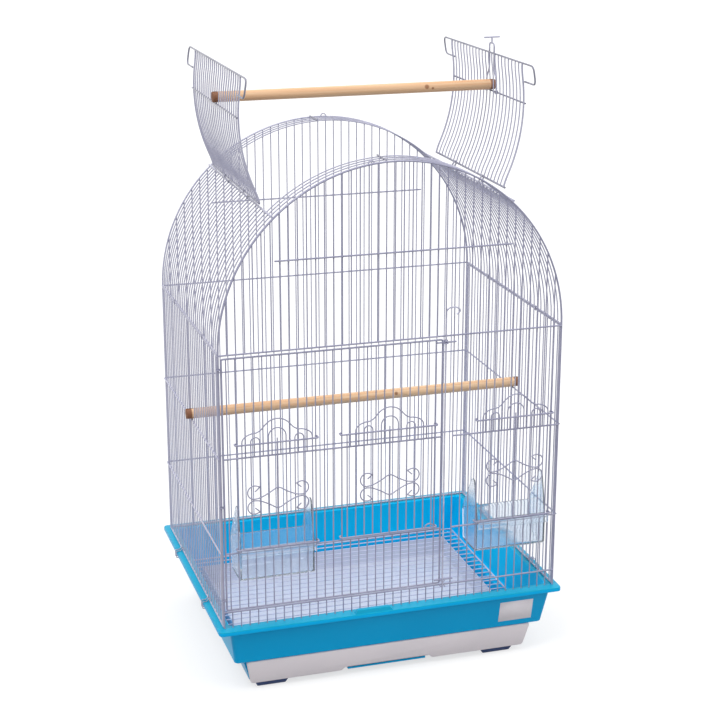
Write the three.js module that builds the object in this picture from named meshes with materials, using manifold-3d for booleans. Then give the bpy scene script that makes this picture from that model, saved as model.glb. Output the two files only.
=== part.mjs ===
// Arch-roofed wire bird cage with an open play top, on a moulded base with a slide-out drawer.
// Frame: origin on the floor under the middle of the base, X to the right, the doors face -Y, Z up.

import * as THREE from 'three';
import { mergeVertices } from 'three/addons/utils/BufferGeometryUtils.js';
import Module from 'manifold-3d';

const wasm = await Module();
wasm.setup();

// Driving dimensions, in millimetres

const cageWidth = 500;
const cageDepth = 380;
const wallHeight = 402;
const wirePitchAim = 12.5;
const sidePitchAim = 12.7;

const fillWire = 1.8;
const barWire = 2.4;
const postWire = 2.6;
const rodWire = 3;

const footHeight = 9;
const tubHeight = 99;
const rimOverhangX = 10;
const rimOverhangY = 15;
const rimLipHeight = 8;
const tubWall = 3;

const hingeAngle = 47;
const flapOpening = 77;
const stripSpaces = 7;
const earLength = 26;
const earReach = 38;

const doorSillRise = 24.5;
const feederDoorHeight = 155;
const doorLineGap = 5.5;
const perchDiameter = 15;
const perchOverhang = 10;

const drawerHeight = 38.5;
const rimTabWidth = 60;
const rimTabRise = 6;
const rimTabX = -32;
const cupDepth = 58;
const cupDrop = 46;

// Clearances

const seatGap = 0.3;
const passGap = 0.4;
const runGap = 0.6;
const sink = 0.7;

// Shares of a driving dimension

const feederSillShare = 0.2815;
const feederHeadShare = 0.6297;
const archBarShare = 0.5;
const archBarSpanShare = 0.34;
const doorWidthShare = 0.6315;
const leftFeederShare = 0.1597;
const middleDoorShare = 0.4848;
const rightFeederShare = 0.8625;
const crosswireShare = 0.7;
const scrollShare = 0.5226;
const feederWidthShare = 0.225;
const mitreShare = 0.5;

// Levels and planes worked out from them

const rimTop = footHeight + tubHeight;
const springLine = rimTop + wallHeight;
const archRadius = cageWidth / 2;
const frontPlane = -cageDepth / 2;
const backPlane = cageDepth / 2;
const postX = cageWidth / 2 - seatGap;
const doorSill = rimTop + doorSillRise;
const feederSill = rimTop + wallHeight * feederSillShare;
const feederHead = rimTop + wallHeight * feederHeadShare;
const spacesFront = Math.round(cageWidth / wirePitchAim);
const pitchFront = cageWidth / spacesFront;
const feederPitches = Math.round(spacesFront * feederWidthShare);
const spacesSide = 2 * Math.round(cageDepth / sidePitchAim / 2);
const pitchSide = cageDepth / spacesSide;
const flapWires = 2 * Math.floor((spacesSide - stripSpaces) / 2) + 1;
const outerBarOffset = postWire / 2 + barWire / 2;
const barOverrun = 1;
const halfTurn = 180;
const degree = Math.PI / halfTurn;
const hexHalf = Math.PI / 6;

// Solids from three.js geometry, joined and cut

function toSolid(geometry) {
  const plain = geometry.index ? geometry.toNonIndexed() : geometry.clone();
  plain.deleteAttribute('normal');
  plain.deleteAttribute('uv');
  const merged = mergeVertices(plain, 1e-4);
  const mesh = new wasm.Mesh({
    numProp: 3,
    vertProperties: Float32Array.from(merged.attributes.position.array),
    triVerts: Uint32Array.from(merged.index.array),
  });
  return new wasm.Manifold(mesh);
}

function join(solids) {
  let level = solids;
  while (level.length > 1) {
    const next = [];
    for (let i = 0; i < level.length; i += 2) {
      next.push(i + 1 < level.length ? level[i].add(level[i + 1]) : level[i]);
    }
    level = next;
  }
  return level[0];
}

function toGeometry(solid) {
  const mesh = solid.getMesh();
  const geometry = new THREE.BufferGeometry();
  const positions = new Float32Array(mesh.numVert * 3);
  for (let i = 0; i < mesh.numVert; i += 1) {
    for (let k = 0; k < 3; k += 1) {
      positions[3 * i + k] = mesh.vertProperties[mesh.numProp * i + k];
    }
  }
  geometry.setAttribute('position', new THREE.BufferAttribute(positions, 3));
  geometry.setIndex(Array.from(mesh.triVerts));
  geometry.computeVertexNormals();
  return geometry;
}

function block(x0, x1, y0, y1, z0, z1) {
  const geometry = new THREE.BoxGeometry(x1 - x0, y1 - y0, z1 - z0);
  geometry.translate((x0 + x1) / 2, (y0 + y1) / 2, (z0 + z1) / 2);
  return toSolid(geometry);
}

function wireX(x0, x1, y, z, size) {
  return block(x0, x1, y - size / 2, y + size / 2, z - size / 2, z + size / 2);
}

function wireY(y0, y1, x, z, size) {
  return block(x - size / 2, x + size / 2, y0, y1, z - size / 2, z + size / 2);
}

function wireZ(z0, z1, x, y, size) {
  return block(x - size / 2, x + size / 2, y - size / 2, y + size / 2, z0, z1);
}

// A flat outline of [u, v] points pushed along the third axis. Plane 'xz' keeps v as Z, and so on.
function slab(points, plane, from, to) {
  const shape = new THREE.Shape(points.map(([u, v]) => new THREE.Vector2(u, v)));
  const geometry = new THREE.ExtrudeGeometry(shape, { depth: to - from, bevelEnabled: false, steps: 1 });
  geometry.translate(0, 0, from);
  const matrix = new THREE.Matrix4();
  if (plane === 'xz') {
    matrix.set(1, 0, 0, 0, 0, 0, 1, 0, 0, 1, 0, 0, 0, 0, 0, 1);
  } else if (plane === 'yz') {
    matrix.set(0, 0, 1, 0, 1, 0, 0, 0, 0, 1, 0, 0, 0, 0, 0, 1);
  }
  geometry.applyMatrix4(matrix);
  if (plane === 'xz') {
    flip(geometry);
  }
  return toSolid(geometry);
}

function flip(geometry) {
  const source = geometry.index ? geometry.toNonIndexed() : geometry;
  const values = source.attributes.position.array;
  for (let i = 0; i < values.length; i += 9) {
    for (let k = 0; k < 3; k += 1) {
      const held = values[i + 3 + k];
      values[i + 3 + k] = values[i + 6 + k];
      values[i + 6 + k] = held;
    }
  }
  geometry.index = null;
  geometry.setAttribute('position', source.attributes.position);
}

// Points along a circle in a plane, from one angle to another in degrees.
function arcPoints(cx, cz, radius, from, to, steps) {
  const points = [];
  for (let i = 0; i <= steps; i += 1) {
    const angle = (from + ((to - from) * i) / steps) * degree;
    points.push([cx + radius * Math.cos(angle), cz + radius * Math.sin(angle)]);
  }
  return points;
}

// The outline of a wire of the given width that follows a line of points in a plane.
function ribbon(points, width) {
  const left = [];
  const right = [];
  for (let i = 0; i < points.length; i += 1) {
    const before = points[Math.max(i - 1, 0)];
    const after = points[Math.min(i + 1, points.length - 1)];
    const here = points[i];
    let inX = here[0] - before[0];
    let inY = here[1] - before[1];
    let outX = after[0] - here[0];
    let outY = after[1] - here[1];
    if (i === 0) {
      inX = outX;
      inY = outY;
    }
    if (i === points.length - 1) {
      outX = inX;
      outY = inY;
    }
    const inLength = Math.hypot(inX, inY);
    const outLength = Math.hypot(outX, outY);
    let normalX = -(inY / inLength + outY / outLength);
    let normalY = inX / inLength + outX / outLength;
    const size = Math.hypot(normalX, normalY);
    normalX /= size;
    normalY /= size;
    const stretch = 1 / Math.max(normalX * (-inY / inLength) + (normalY * inX) / inLength, mitreShare);
    left.push([here[0] + (normalX * width * stretch) / 2, here[1] + (normalY * width * stretch) / 2]);
    right.push([here[0] - (normalX * width * stretch) / 2, here[1] - (normalY * width * stretch) / 2]);
  }
  return left.concat(right.reverse());
}

function bentWire(points, width, plane, from, to) {
  return slab(ribbon(points, width), plane, from, to);
}

// Height of the arch above the spring line at a place across the cage.
function archHeight(x, radius) {
  return springLine + Math.sqrt(Math.max(radius * radius - x * x, 0));
}

// Stacked closed outlines with the same number of points, first and last capped.
function loft(rings) {
  const count = rings[0].length;
  const positions = [];
  const index = [];
  rings.forEach((ring) => ring.forEach((point) => positions.push(...point)));
  for (let r = 0; r + 1 < rings.length; r += 1) {
    for (let i = 0; i < count; i += 1) {
      const a = r * count + i;
      const b = r * count + ((i + 1) % count);
      index.push(a, b, b + count, a, b + count, a + count);
    }
  }
  const last = (rings.length - 1) * count;
  for (let i = 1; i + 1 < count; i += 1) {
    index.push(0, i + 1, i);
    index.push(last, last + i, last + i + 1);
  }
  const geometry = new THREE.BufferGeometry();
  geometry.setAttribute('position', new THREE.Float32BufferAttribute(positions, 3));
  geometry.setIndex(index);
  return toSolid(geometry);
}

// A rectangle with cut corners at one height, seen from above and running anticlockwise.
function cutRectangle(halfX, halfY, cut, z) {
  return [
    [halfX - cut, -halfY, z],
    [halfX, -halfY + cut, z],
    [halfX, halfY - cut, z],
    [halfX - cut, halfY, z],
    [-halfX + cut, halfY, z],
    [-halfX, halfY - cut, z],
    [-halfX, -halfY + cut, z],
    [-halfX + cut, -halfY, z],
  ];
}

// Materials

const wireCoat = new THREE.MeshStandardMaterial({ color: 0xd9d9ea, roughness: 0.42, metalness: 0.15 });
const rodCoat = new THREE.MeshStandardMaterial({ color: 0xb9b9cc, roughness: 0.35, metalness: 0.35 });
const tubBlue = new THREE.MeshStandardMaterial({ color: 0x0e9fd8, roughness: 0.35, metalness: 0 });
const drawerWhite = new THREE.MeshStandardMaterial({ color: 0xded8de, roughness: 0.5, metalness: 0 });
const footNavy = new THREE.MeshStandardMaterial({ color: 0x0c2a52, roughness: 0.6, metalness: 0 });
const cupClear = new THREE.MeshStandardMaterial({
  color: 0xdfeaf5,
  roughness: 0.15,
  metalness: 0,
  transparent: true,
  opacity: 0.5,
});
const perchPine = new THREE.MeshStandardMaterial({ color: 0xdcae7a, roughness: 0.7, metalness: 0 });

const cage = new THREE.Group();

function part(name, solid, material) {
  const mesh = new THREE.Mesh(toGeometry(solid), material);
  mesh.name = name;
  cage.add(mesh);
  return mesh;
}

// Base tub: a moulded tray that tapers to its foot, with a rim that the wire walls stand on

const rimHalfX = cageWidth / 2 + rimOverhangX;
const rimHalfY = cageDepth / 2 + rimOverhangY;
const tubBottom = footHeight;
const tubTopInsetX = 16;
const tubTopInsetY = 4;
const basinTaperX = 9;
const basinTaperY = 14;
const footTaper = 8;
const stepInX = 17;
const stepInY = 9;
const rimCorner = 7;
const basinCorner = 9;
const lowerCorner = 6;
const mouthInset = 7;
const floorThickness = 3;
const tabSetBack = 1;

const lipBottom = rimTop - rimLipHeight;
const lipInner = rimTop - tubWall;
const stepBottom = tubBottom + drawerHeight + runGap;
const ledgeTop = stepBottom + tubWall;
const basinTopX = rimHalfX - tubTopInsetX;
const basinTopY = rimHalfY - tubTopInsetY;
const basinBottomX = basinTopX - basinTaperX;
const basinBottomY = basinTopY - basinTaperY;
const lowerTopX = basinBottomX - stepInX;
const lowerTopY = basinBottomY - stepInY;
const lowerBottomX = lowerTopX - footTaper;
const lowerBottomY = lowerTopY - footTaper;
const mouthX = basinTopX - tubWall;
const mouthY = cageDepth / 2 - mouthInset;
const wallFloor = tubBottom + floorThickness;

const tubShell = loft([
  cutRectangle(lowerBottomX, lowerBottomY, lowerCorner, tubBottom),
  cutRectangle(lowerTopX, lowerTopY, lowerCorner, stepBottom),
  cutRectangle(basinBottomX, basinBottomY, basinCorner, stepBottom),
  cutRectangle(basinTopX, basinTopY, basinCorner, lipInner),
  cutRectangle(rimHalfX - tubWall / 2, rimHalfY - tubWall / 2, rimCorner, lipInner),
  cutRectangle(rimHalfX - tubWall / 2, rimHalfY - tubWall / 2, rimCorner, lipBottom),
  cutRectangle(rimHalfX, rimHalfY, rimCorner, lipBottom),
  cutRectangle(rimHalfX, rimHalfY, rimCorner, rimTop),
  cutRectangle(mouthX, mouthY, rimCorner, rimTop),
  cutRectangle(basinBottomX - tubWall, basinBottomY - tubWall, rimCorner, ledgeTop),
  cutRectangle(lowerTopX - tubWall, lowerTopY - tubWall, lowerCorner / 2, ledgeTop),
  cutRectangle(lowerBottomX - tubWall, lowerBottomY - tubWall, lowerCorner / 2, wallFloor),
]);
const slotBack = -lowerBottomY;
const drawerSlot = block(-basinBottomX, basinBottomX, -rimHalfY, slotBack, 0, stepBottom);
const trayRun = block(
  -lowerBottomX + tubWall,
  lowerBottomX - tubWall,
  -rimHalfY,
  -lowerBottomY + tubWall * 2,
  wallFloor,
  stepBottom,
);
const rimTab = slab(
  [
    [-rimTabWidth / 2, rimTop - tubWall / 2],
    [rimTabWidth / 2, rimTop - tubWall / 2],
    [rimTabWidth / 2 - rimTabRise, rimTop + rimTabRise],
    [-rimTabWidth / 2 + rimTabRise, rimTop + rimTabRise],
  ].map(([x, z]) => [x + rimTabX, z]),
  'xz',
  -rimHalfY + tabSetBack,
  frontPlane - outerBarOffset - barWire,
);
const tub = join([tubShell.subtract(drawerSlot).subtract(trayRun), rimTab]);
part('base_tub', tub, tubBlue);

// Feet: four shallow pads under the tub, with sloped ends

const footLength = 48;
const footWidth = 36;
const footSlope = 4;
const footSetIn = 40;
const footInset = 4;
const footReach = 5;

function foot(name, x, y) {
  const solid = loft([
    cutRectangle(footLength / 2 - footSlope, footWidth / 2 - footSlope, footSlope / 2, 0),
    cutRectangle(footLength / 2, footWidth / 2, footSlope / 2, footHeight - seatGap),
  ].map((ring) => ring.map(([px, py, pz]) => [px + x, py + y, pz])));
  part(name, solid, footNavy);
}

const footX = lowerBottomX - footSetIn;
const footFrontY = -lowerBottomY - footReach + footWidth / 2;
const footBackY = lowerBottomY - footInset - footWidth / 2;
foot('foot_front_left', -footX, footFrontY);
foot('foot_front_right', footX, footFrontY);
foot('foot_back_left', -footX, footBackY);
foot('foot_back_right', footX, footBackY);

// Drawer: a shallow tray behind a sloped front that covers the whole front of the lower body

const trayWall = 2;
const trayHeight = 18;
const plateThickness = 5;
const plateOverlap = 1;
const recessHalf = 66;
const recessRise = 5;
const trayGap = 2;
const recessX = -4;
const trayHalfX = lowerBottomX - tubWall - trayGap;
const trayBack = lowerBottomY - tubWall - trayGap;
const trayBottom = wallFloor + seatGap;
const frontBottom = tubBottom + seatGap;
const frontTop = tubBottom + drawerHeight;
const plateTopY = -basinBottomY + plateOverlap;
const plateBottomY = plateTopY + footTaper;
const trayFront = plateBottomY + plateThickness - trayWall / 2;
const plateRing = (y, thickness, halfX, z) => [
  [-halfX, y, z],
  [halfX, y, z],
  [halfX, y + thickness, z],
  [-halfX, y + thickness, z],
];

const trayOuter = block(-trayHalfX, trayHalfX, trayFront, trayBack, trayBottom, trayBottom + trayHeight);
const trayInner = block(
  -trayHalfX + trayWall,
  trayHalfX - trayWall,
  trayFront + trayWall,
  trayBack - trayWall,
  trayBottom + trayWall,
  trayBottom + trayHeight + trayWall,
);
const drawerFront = loft([
  plateRing(plateBottomY, plateThickness, lowerBottomX, frontBottom),
  plateRing(plateTopY, plateThickness, lowerTopX, frontTop),
]);
const recess = slab(
  [
    [-recessHalf - recessRise, frontBottom - tubWall],
    [recessHalf + recessRise, frontBottom - tubWall],
    [recessHalf, frontBottom + recessRise],
    [-recessHalf, frontBottom + recessRise],
  ].map(([x, z]) => [x + recessX, z]),
  'xz',
  -rimHalfY,
  plateBottomY + plateThickness + sink,
);
part('drawer', join([trayOuter.subtract(trayInner), drawerFront.subtract(recess)]), drawerWhite);

// Floor grille over the drawer, resting on the tub's ledge

const grillePitchAim = 15;
const grilleMargin = 8;
const grilleHalfX = basinBottomX - tubWall - grilleMargin;
const grilleHalfY = basinBottomY - tubWall - grilleMargin;
const grilleSpaces = Math.round((2 * grilleHalfY) / grillePitchAim);
const grilleBarZ = ledgeTop + seatGap + barWire / 2;
const grilleWires = [];
for (let i = 0; i <= grilleSpaces; i += 1) {
  const y = -grilleHalfY + (2 * grilleHalfY * i) / grilleSpaces;
  if (i === 0 || i === grilleSpaces) {
    grilleWires.push(wireX(-grilleHalfX, grilleHalfX, y, grilleBarZ, barWire));
  } else {
    grilleWires.push(wireX(-grilleHalfX + barWire / 2 - sink, grilleHalfX - barWire / 2 + sink, y, grilleBarZ, fillWire));
  }
}
[-grilleHalfX, grilleHalfX].forEach((x) => {
  grilleWires.push(wireY(-grilleHalfY - barWire / 2, grilleHalfY + barWire / 2, x, grilleBarZ, barWire));
});
part('floor_grille', join(grilleWires), wireCoat);

// Walls: fill wires run between frame wires, and the level wires pass outside them onto the posts

const panelBottom = rimTop + seatGap;
const archSteps = 20;
const ringRadius = archRadius - seatGap;
const archRing = (plane) => bentWire(
  arcPoints(0, springLine, ringRadius, 0, halfTurn, archSteps),
  postWire,
  'xz',
  plane - postWire / 2,
  plane + postWire / 2,
);
const archSeat = (x) => archHeight(x, ringRadius * Math.cos(Math.PI / archSteps / 2));
const archBarZ = springLine + archRadius * archBarShare;
const archBarHalf = cageWidth * archBarSpanShare;
const archBarFirst = Math.ceil((cageWidth / 2 - archBarHalf) / pitchFront);
const weldHalf = fillWire / 2 - seatGap;

// Level wire outside an arch, welded to the two upright wires nearest its ends.
function archBar(plane, sign) {
  const y = plane + sign * outerBarOffset;
  const reach = [plane, y].sort((a, b) => a - b);
  const bar = wireX(-archBarHalf, archBarHalf, y, archBarZ, barWire);
  return [archBarFirst, spacesFront - archBarFirst].reduce((solid, i) => {
    const x = pitchFront * i - cageWidth / 2;
    return solid.add(block(x - weldHalf, x + weldHalf, reach[0], reach[1], archBarZ - weldHalf, archBarZ + weldHalf));
  }, bar);
}

// Back wall, full height with its arch

const backParts = [];
backParts.push(archRing(backPlane));
[-postX, postX].forEach((x) => {
  backParts.push(wireZ(panelBottom, springLine + sink, x, backPlane, postWire));
});
backParts.push(wireX(-postX, postX, backPlane, panelBottom + postWire / 2, postWire));
for (let i = 1; i < spacesFront; i += 1) {
  const x = -cageWidth / 2 + pitchFront * i;
  backParts.push(wireZ(panelBottom + postWire - sink, archSeat(x), x, backPlane, fillWire));
}
[feederSill, feederHead, springLine].forEach((z) => {
  backParts.push(wireX(-postX - postWire / 2, postX + postWire / 2, backPlane + outerBarOffset, z, barWire));
});
backParts.push(archBar(backPlane, 1));
part('back_panel', join(backParts), wireCoat);

// Side walls, their front and back posts set in to leave room for the door's hinge eyes

const sideEnd = cageDepth / 2 - postWire / 2 - seatGap;
const eyeHole = postWire / 2 * Math.SQRT2 + passGap;
const eyeWire = 1.6;
const eyeOuter = eyeHole + eyeWire;
const eyeReach = eyeOuter / Math.cos(hexHalf);
const sidePostY = cageDepth / 2 - eyeReach - postWire / 2 - seatGap;
const sideTop = springLine - postWire / 2 - seatGap / 2;

function sidePanel(name, sign) {
  const x = (sign * cageWidth) / 2;
  const parts = [];
  [panelBottom + postWire / 2, sideTop].forEach((z) => {
    parts.push(wireY(-sideEnd, sideEnd, x, z, postWire));
  });
  [-sidePostY, sidePostY].forEach((y) => {
    parts.push(wireZ(panelBottom + sink, sideTop, x, y, postWire));
  });
  for (let i = 1; i < spacesSide; i += 1) {
    const y = frontPlane + pitchSide * i;
    parts.push(wireZ(panelBottom + postWire - sink, sideTop - postWire / 2 + sink, x, y, fillWire));
  }
  [feederSill, feederHead].forEach((z) => {
    parts.push(wireY(-sideEnd - barOverrun, sideEnd + barOverrun, x + sign * outerBarOffset, z, barWire));
  });
  part(name, join(parts), wireCoat);
}

sidePanel('side_panel_left', -1);
sidePanel('side_panel_right', 1);

// Front wall: the arch above the spring line, the fixed part right of the big door, and the sill

const doorLeft = -postX + eyeHole + postWire / 2 + runGap;
const latchSetOut = 2.7;
const latchStandOff = 6;
const ringWire = 1.7;
const doorRight = -cageWidth / 2 + cageWidth * doorWidthShare + barWire * 2;
const doorBottom = doorSill + barWire + passGap;
const doorTop = springLine - doorLineGap;
const doorFirst = doorLeft + pitchFront / 2;
const doorWires = Math.floor((doorRight - doorFirst - postWire) / pitchFront) + 1;
const fixedFirst = Math.ceil((doorRight + cageWidth / 2 + barWire * 2) / pitchFront);
const feederRightFirst = Math.round((cageWidth * rightFeederShare) / pitchFront - feederPitches / 2);
const feederRightLast = feederRightFirst + feederPitches;
const frontX = (i) => -cageWidth / 2 + pitchFront * i;
const latchX = doorRight + latchSetOut;
const latchY = frontPlane - latchStandOff;
const ringHole = (barWire / 2) * Math.SQRT2 + passGap;
const ringOuter = ringHole + ringWire;

// A flat eye of six sides around an upright wire.
function eye(x, y, z, hole, outer, height) {
  const shape = new THREE.Shape(hexagon(0, 0, outer / Math.cos(hexHalf)).map(toVector));
  shape.holes.push(new THREE.Path(hexagon(0, 0, hole / Math.cos(hexHalf)).reverse().map(toVector)));
  const geometry = new THREE.ExtrudeGeometry(shape, { depth: height, bevelEnabled: false, steps: 1 });
  geometry.translate(x, y, z - height / 2);
  return toSolid(geometry);
}

function toVector([u, v]) {
  return new THREE.Vector2(u, v);
}

function hexagon(cx, cz, radius, turn = 0) {
  const points = [];
  for (let i = 0; i < 6; i += 1) {
    const angle = turn + (i * Math.PI) / 3;
    points.push([cx + radius * Math.cos(angle), cz + radius * Math.sin(angle)]);
  }
  return points;
}

const frontParts = [];
frontParts.push(archRing(frontPlane));
[-postX, postX].forEach((x) => {
  frontParts.push(wireZ(panelBottom, springLine + sink, x, frontPlane, postWire));
});
frontParts.push(wireX(-postX, postX, frontPlane, springLine, barWire));
frontParts.push(wireX(-postX, postX, frontPlane, doorSill, barWire));
const upperRun = (x, from, to) => wireZ(from + barWire / 2 - sink, to - barWire / 2 + sink, x, frontPlane, fillWire);
for (let i = 1; i < spacesFront; i += 1) {
  const x = frontX(i);
  frontParts.push(wireZ(panelBottom, doorSill - barWire / 2 + sink, x, frontPlane, fillWire));
  frontParts.push(wireZ(springLine + barWire / 2 - sink, archSeat(x), x, frontPlane, fillWire));
  if (i >= fixedFirst) {
    const open = i > feederRightFirst && i < feederRightLast;
    frontParts.push(upperRun(x, doorSill, feederSill));
    if (!open) {
      frontParts.push(upperRun(x, feederSill, feederHead));
    }
    frontParts.push(upperRun(x, feederHead, springLine));
  }
}
[feederSill, feederHead].forEach((z) => {
  frontParts.push(wireX(frontX(fixedFirst) - fillWire / 2, postX, frontPlane, z, barWire));
});
frontParts.push(archBar(frontPlane, -1));
frontParts.push(slab(
  [
    [latchX - ringOuter, frontPlane - barWire / 2 + sink],
    [latchX - ringOuter, latchY - ringOuter],
    [latchX - ringHole, latchY - ringOuter],
    [latchX - ringHole, latchY + ringHole],
    [latchX + ringHole, latchY + ringHole],
    [latchX + ringHole, latchY - ringOuter],
    [latchX + ringOuter, latchY - ringOuter],
    [latchX + ringOuter, frontPlane - barWire / 2 + sink],
  ],
  'xy',
  doorSill - barWire / 2,
  doorSill + barWire / 2,
));
part('front_panel', join(frontParts), wireCoat);

// Roof: the wires over each shoulder, and the strips that cross the top in front and behind

const roofBarZ = springLine + postWire / 2 + seatGap / 2;
const flapHalf = ((flapWires - 1) / 2) * pitchSide;
const stripInner = flapHalf + pitchSide;
const stripOuter = cageDepth / 2 - postWire / 2 - seatGap - fillWire / 2;
const stripWires = 4;
const shoulderSteps = 3;
const stripSteps = 12;
const rodRadius = rodWire / 2;
const rodFlat = rodRadius * Math.cos(hexHalf);
const hingeRadius = archRadius + fillWire / 2 + seatGap + rodFlat;
const barAngle = (z) => Math.asin((z - springLine) / archRadius) / degree;
const hingeX = hingeRadius * Math.cos(hingeAngle * degree);
const hingeZ = springLine + hingeRadius * Math.sin(hingeAngle * degree);

// A six-sided rod along Y, one flat towards the arch centre when turned to its own angle.
function rodY(x, z, y0, y1, radius, turn = 0) {
  return slab(hexagon(x, z, radius, turn + hexHalf), 'xz', y0, y1);
}

const mirrorX = (points, sign) => points.map(([x, z]) => [sign * x, z]);

function roofSide(name, sign) {
  const parts = [];
  parts.push(wireY(-sideEnd, sideEnd, (sign * cageWidth) / 2, roofBarZ, postWire));
  parts.push(rodY(sign * hingeX, hingeZ, -sideEnd, sideEnd, rodRadius, sign * hingeAngle * degree));
  const curve = arcPoints(0, springLine, archRadius, barAngle(roofBarZ), hingeAngle, shoulderSteps);
  curve[curve.length - 1] = [hingeX, hingeZ];
  const line = mirrorX(curve, sign);
  for (let i = 0; i < flapWires; i += 1) {
    const y = -flapHalf + pitchSide * i;
    parts.push(bentWire(line, fillWire, 'xz', y - fillWire / 2, y + fillWire / 2));
  }
  part(name, join(parts), wireCoat);
}

roofSide('roof_side_left', -1);
roofSide('roof_side_right', 1);

const apexWireX = -13;
const apexOverrun = 4;
const loopHalf = 4;
const loopSetOut = 21;

// Height of a roof curve, a line of [x, z] points from right to left, at a place across the cage.
function archSeatOn(curve, x) {
  const i = curve.findIndex(([px]) => px <= x);
  const [a, b] = [curve[i - 1], curve[i]];
  return a[1] + ((b[1] - a[1]) * (x - a[0])) / (b[0] - a[0]);
}

function roofStrip(name, sign) {
  const parts = [];
  const start = barAngle(roofBarZ + postWire / 2 + seatGap + fillWire / 8);
  const curve = arcPoints(0, springLine, archRadius, start, halfTurn - start, stripSteps);
  for (let i = 0; i < stripWires; i += 1) {
    const y = sign * (stripInner + ((stripOuter - stripInner) * i) / (stripWires - 1));
    parts.push(bentWire(curve, fillWire, 'xz', y - fillWire / 2, y + fillWire / 2));
  }
  const ends = [sign * (stripInner - apexOverrun), sign * (stripOuter + seatGap)].sort((a, b) => a - b);
  const seat = archSeatOn(curve, apexWireX);
  const crossTop = seat + fillWire / 2 + barWire - sink;
  parts.push(block(apexWireX - barWire / 2, apexWireX + barWire / 2, ends[0], ends[1], crossTop - barWire, crossTop));
  const loopX = apexWireX + sign * loopSetOut;
  const loopZ = archSeatOn(curve, loopX);
  parts.push(bentWire(
    [
      [loopX - loopHalf, loopZ],
      [loopX - loopHalf / 2, loopZ + loopHalf],
      [loopX + loopHalf / 2, loopZ + loopHalf],
      [loopX + loopHalf, loopZ],
    ],
    fillWire,
    'xz',
    sign * stripOuter - fillWire / 2,
    sign * stripOuter + fillWire / 2,
  ));
  part(name, join(parts), wireCoat);
}

roofStrip('roof_strip_front', -1);
roofStrip('roof_strip_back', 1);

// Flaps: the middle of the roof in two curved halves, hinged on the shoulder rods and swung up

const flapFirstGap = 10;
const flapSteps = 4;
const flapStart = hingeAngle + flapFirstGap / hingeRadius / degree;
const flapEnd = halfTurn / 2 - (rodRadius + runGap) / hingeRadius / degree;
const flapChordShare = Math.cos(((flapEnd - flapStart) / flapSteps / 2) * degree);
const edgeRadius = archRadius * flapChordShare;
const crosswireAngle = hingeAngle + (flapEnd - hingeAngle) * crosswireShare;
const crossRadius = barWire / 2;
const stepAngle = (flapEnd - flapStart) / flapSteps;
const fromMiddle = (((crosswireAngle - flapStart) % stepAngle) - stepAngle / 2) * degree;
const lineRadius = edgeRadius / Math.cos(fromMiddle);
const crosswireRadius = lineRadius + postWire / 2 + crossRadius * Math.cos(hexHalf) - seatGap / 2;
const earCorner = 8;
const clipWall = 1.2;
const clipPitches = 4.5;
const clipOffsetY = pitchSide * clipPitches;
const clipWidth = 5;
const clipHole = rodRadius + seatGap;
const clipOuter = clipHole + clipWall;

// Places on a closed flap, measured from its hinge line, for the right-hand flap.
const flapPlace = (radius, angle) => [
  radius * Math.cos(angle * degree) - hingeX,
  springLine + radius * Math.sin(angle * degree) - hingeZ,
];

function onFlap(mesh, sign) {
  mesh.position.set(sign * hingeX, 0, hingeZ);
  mesh.rotation.y = sign * flapOpening * degree;
}

function ovalPoints(from, to, radius) {
  const along = Math.atan2(to[1] - from[1], to[0] - from[0]);
  const points = [];
  [[to, -Math.PI / 2], [from, Math.PI / 2]].forEach(([centre, start]) => {
    for (let i = 0; i <= 3; i += 1) {
      const angle = along + start + (i * Math.PI) / 3;
      const reach = i === 0 || i === 3 ? radius : radius / Math.cos(hexHalf);
      points.push([centre[0] + reach * Math.cos(angle), centre[1] + reach * Math.sin(angle)]);
    }
  });
  return points;
}

function slabWithHole(outline, hole, from, to) {
  const shape = new THREE.Shape(outline.map(toVector));
  shape.holes.push(new THREE.Path(hole.slice().reverse().map(toVector)));
  const geometry = new THREE.ExtrudeGeometry(shape, { depth: to - from, bevelEnabled: false, steps: 1 });
  geometry.translate(0, 0, from);
  geometry.applyMatrix4(new THREE.Matrix4().set(1, 0, 0, 0, 0, 0, 1, 0, 0, 1, 0, 0, 0, 0, 0, 1));
  flip(geometry);
  return toSolid(geometry);
}

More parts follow.
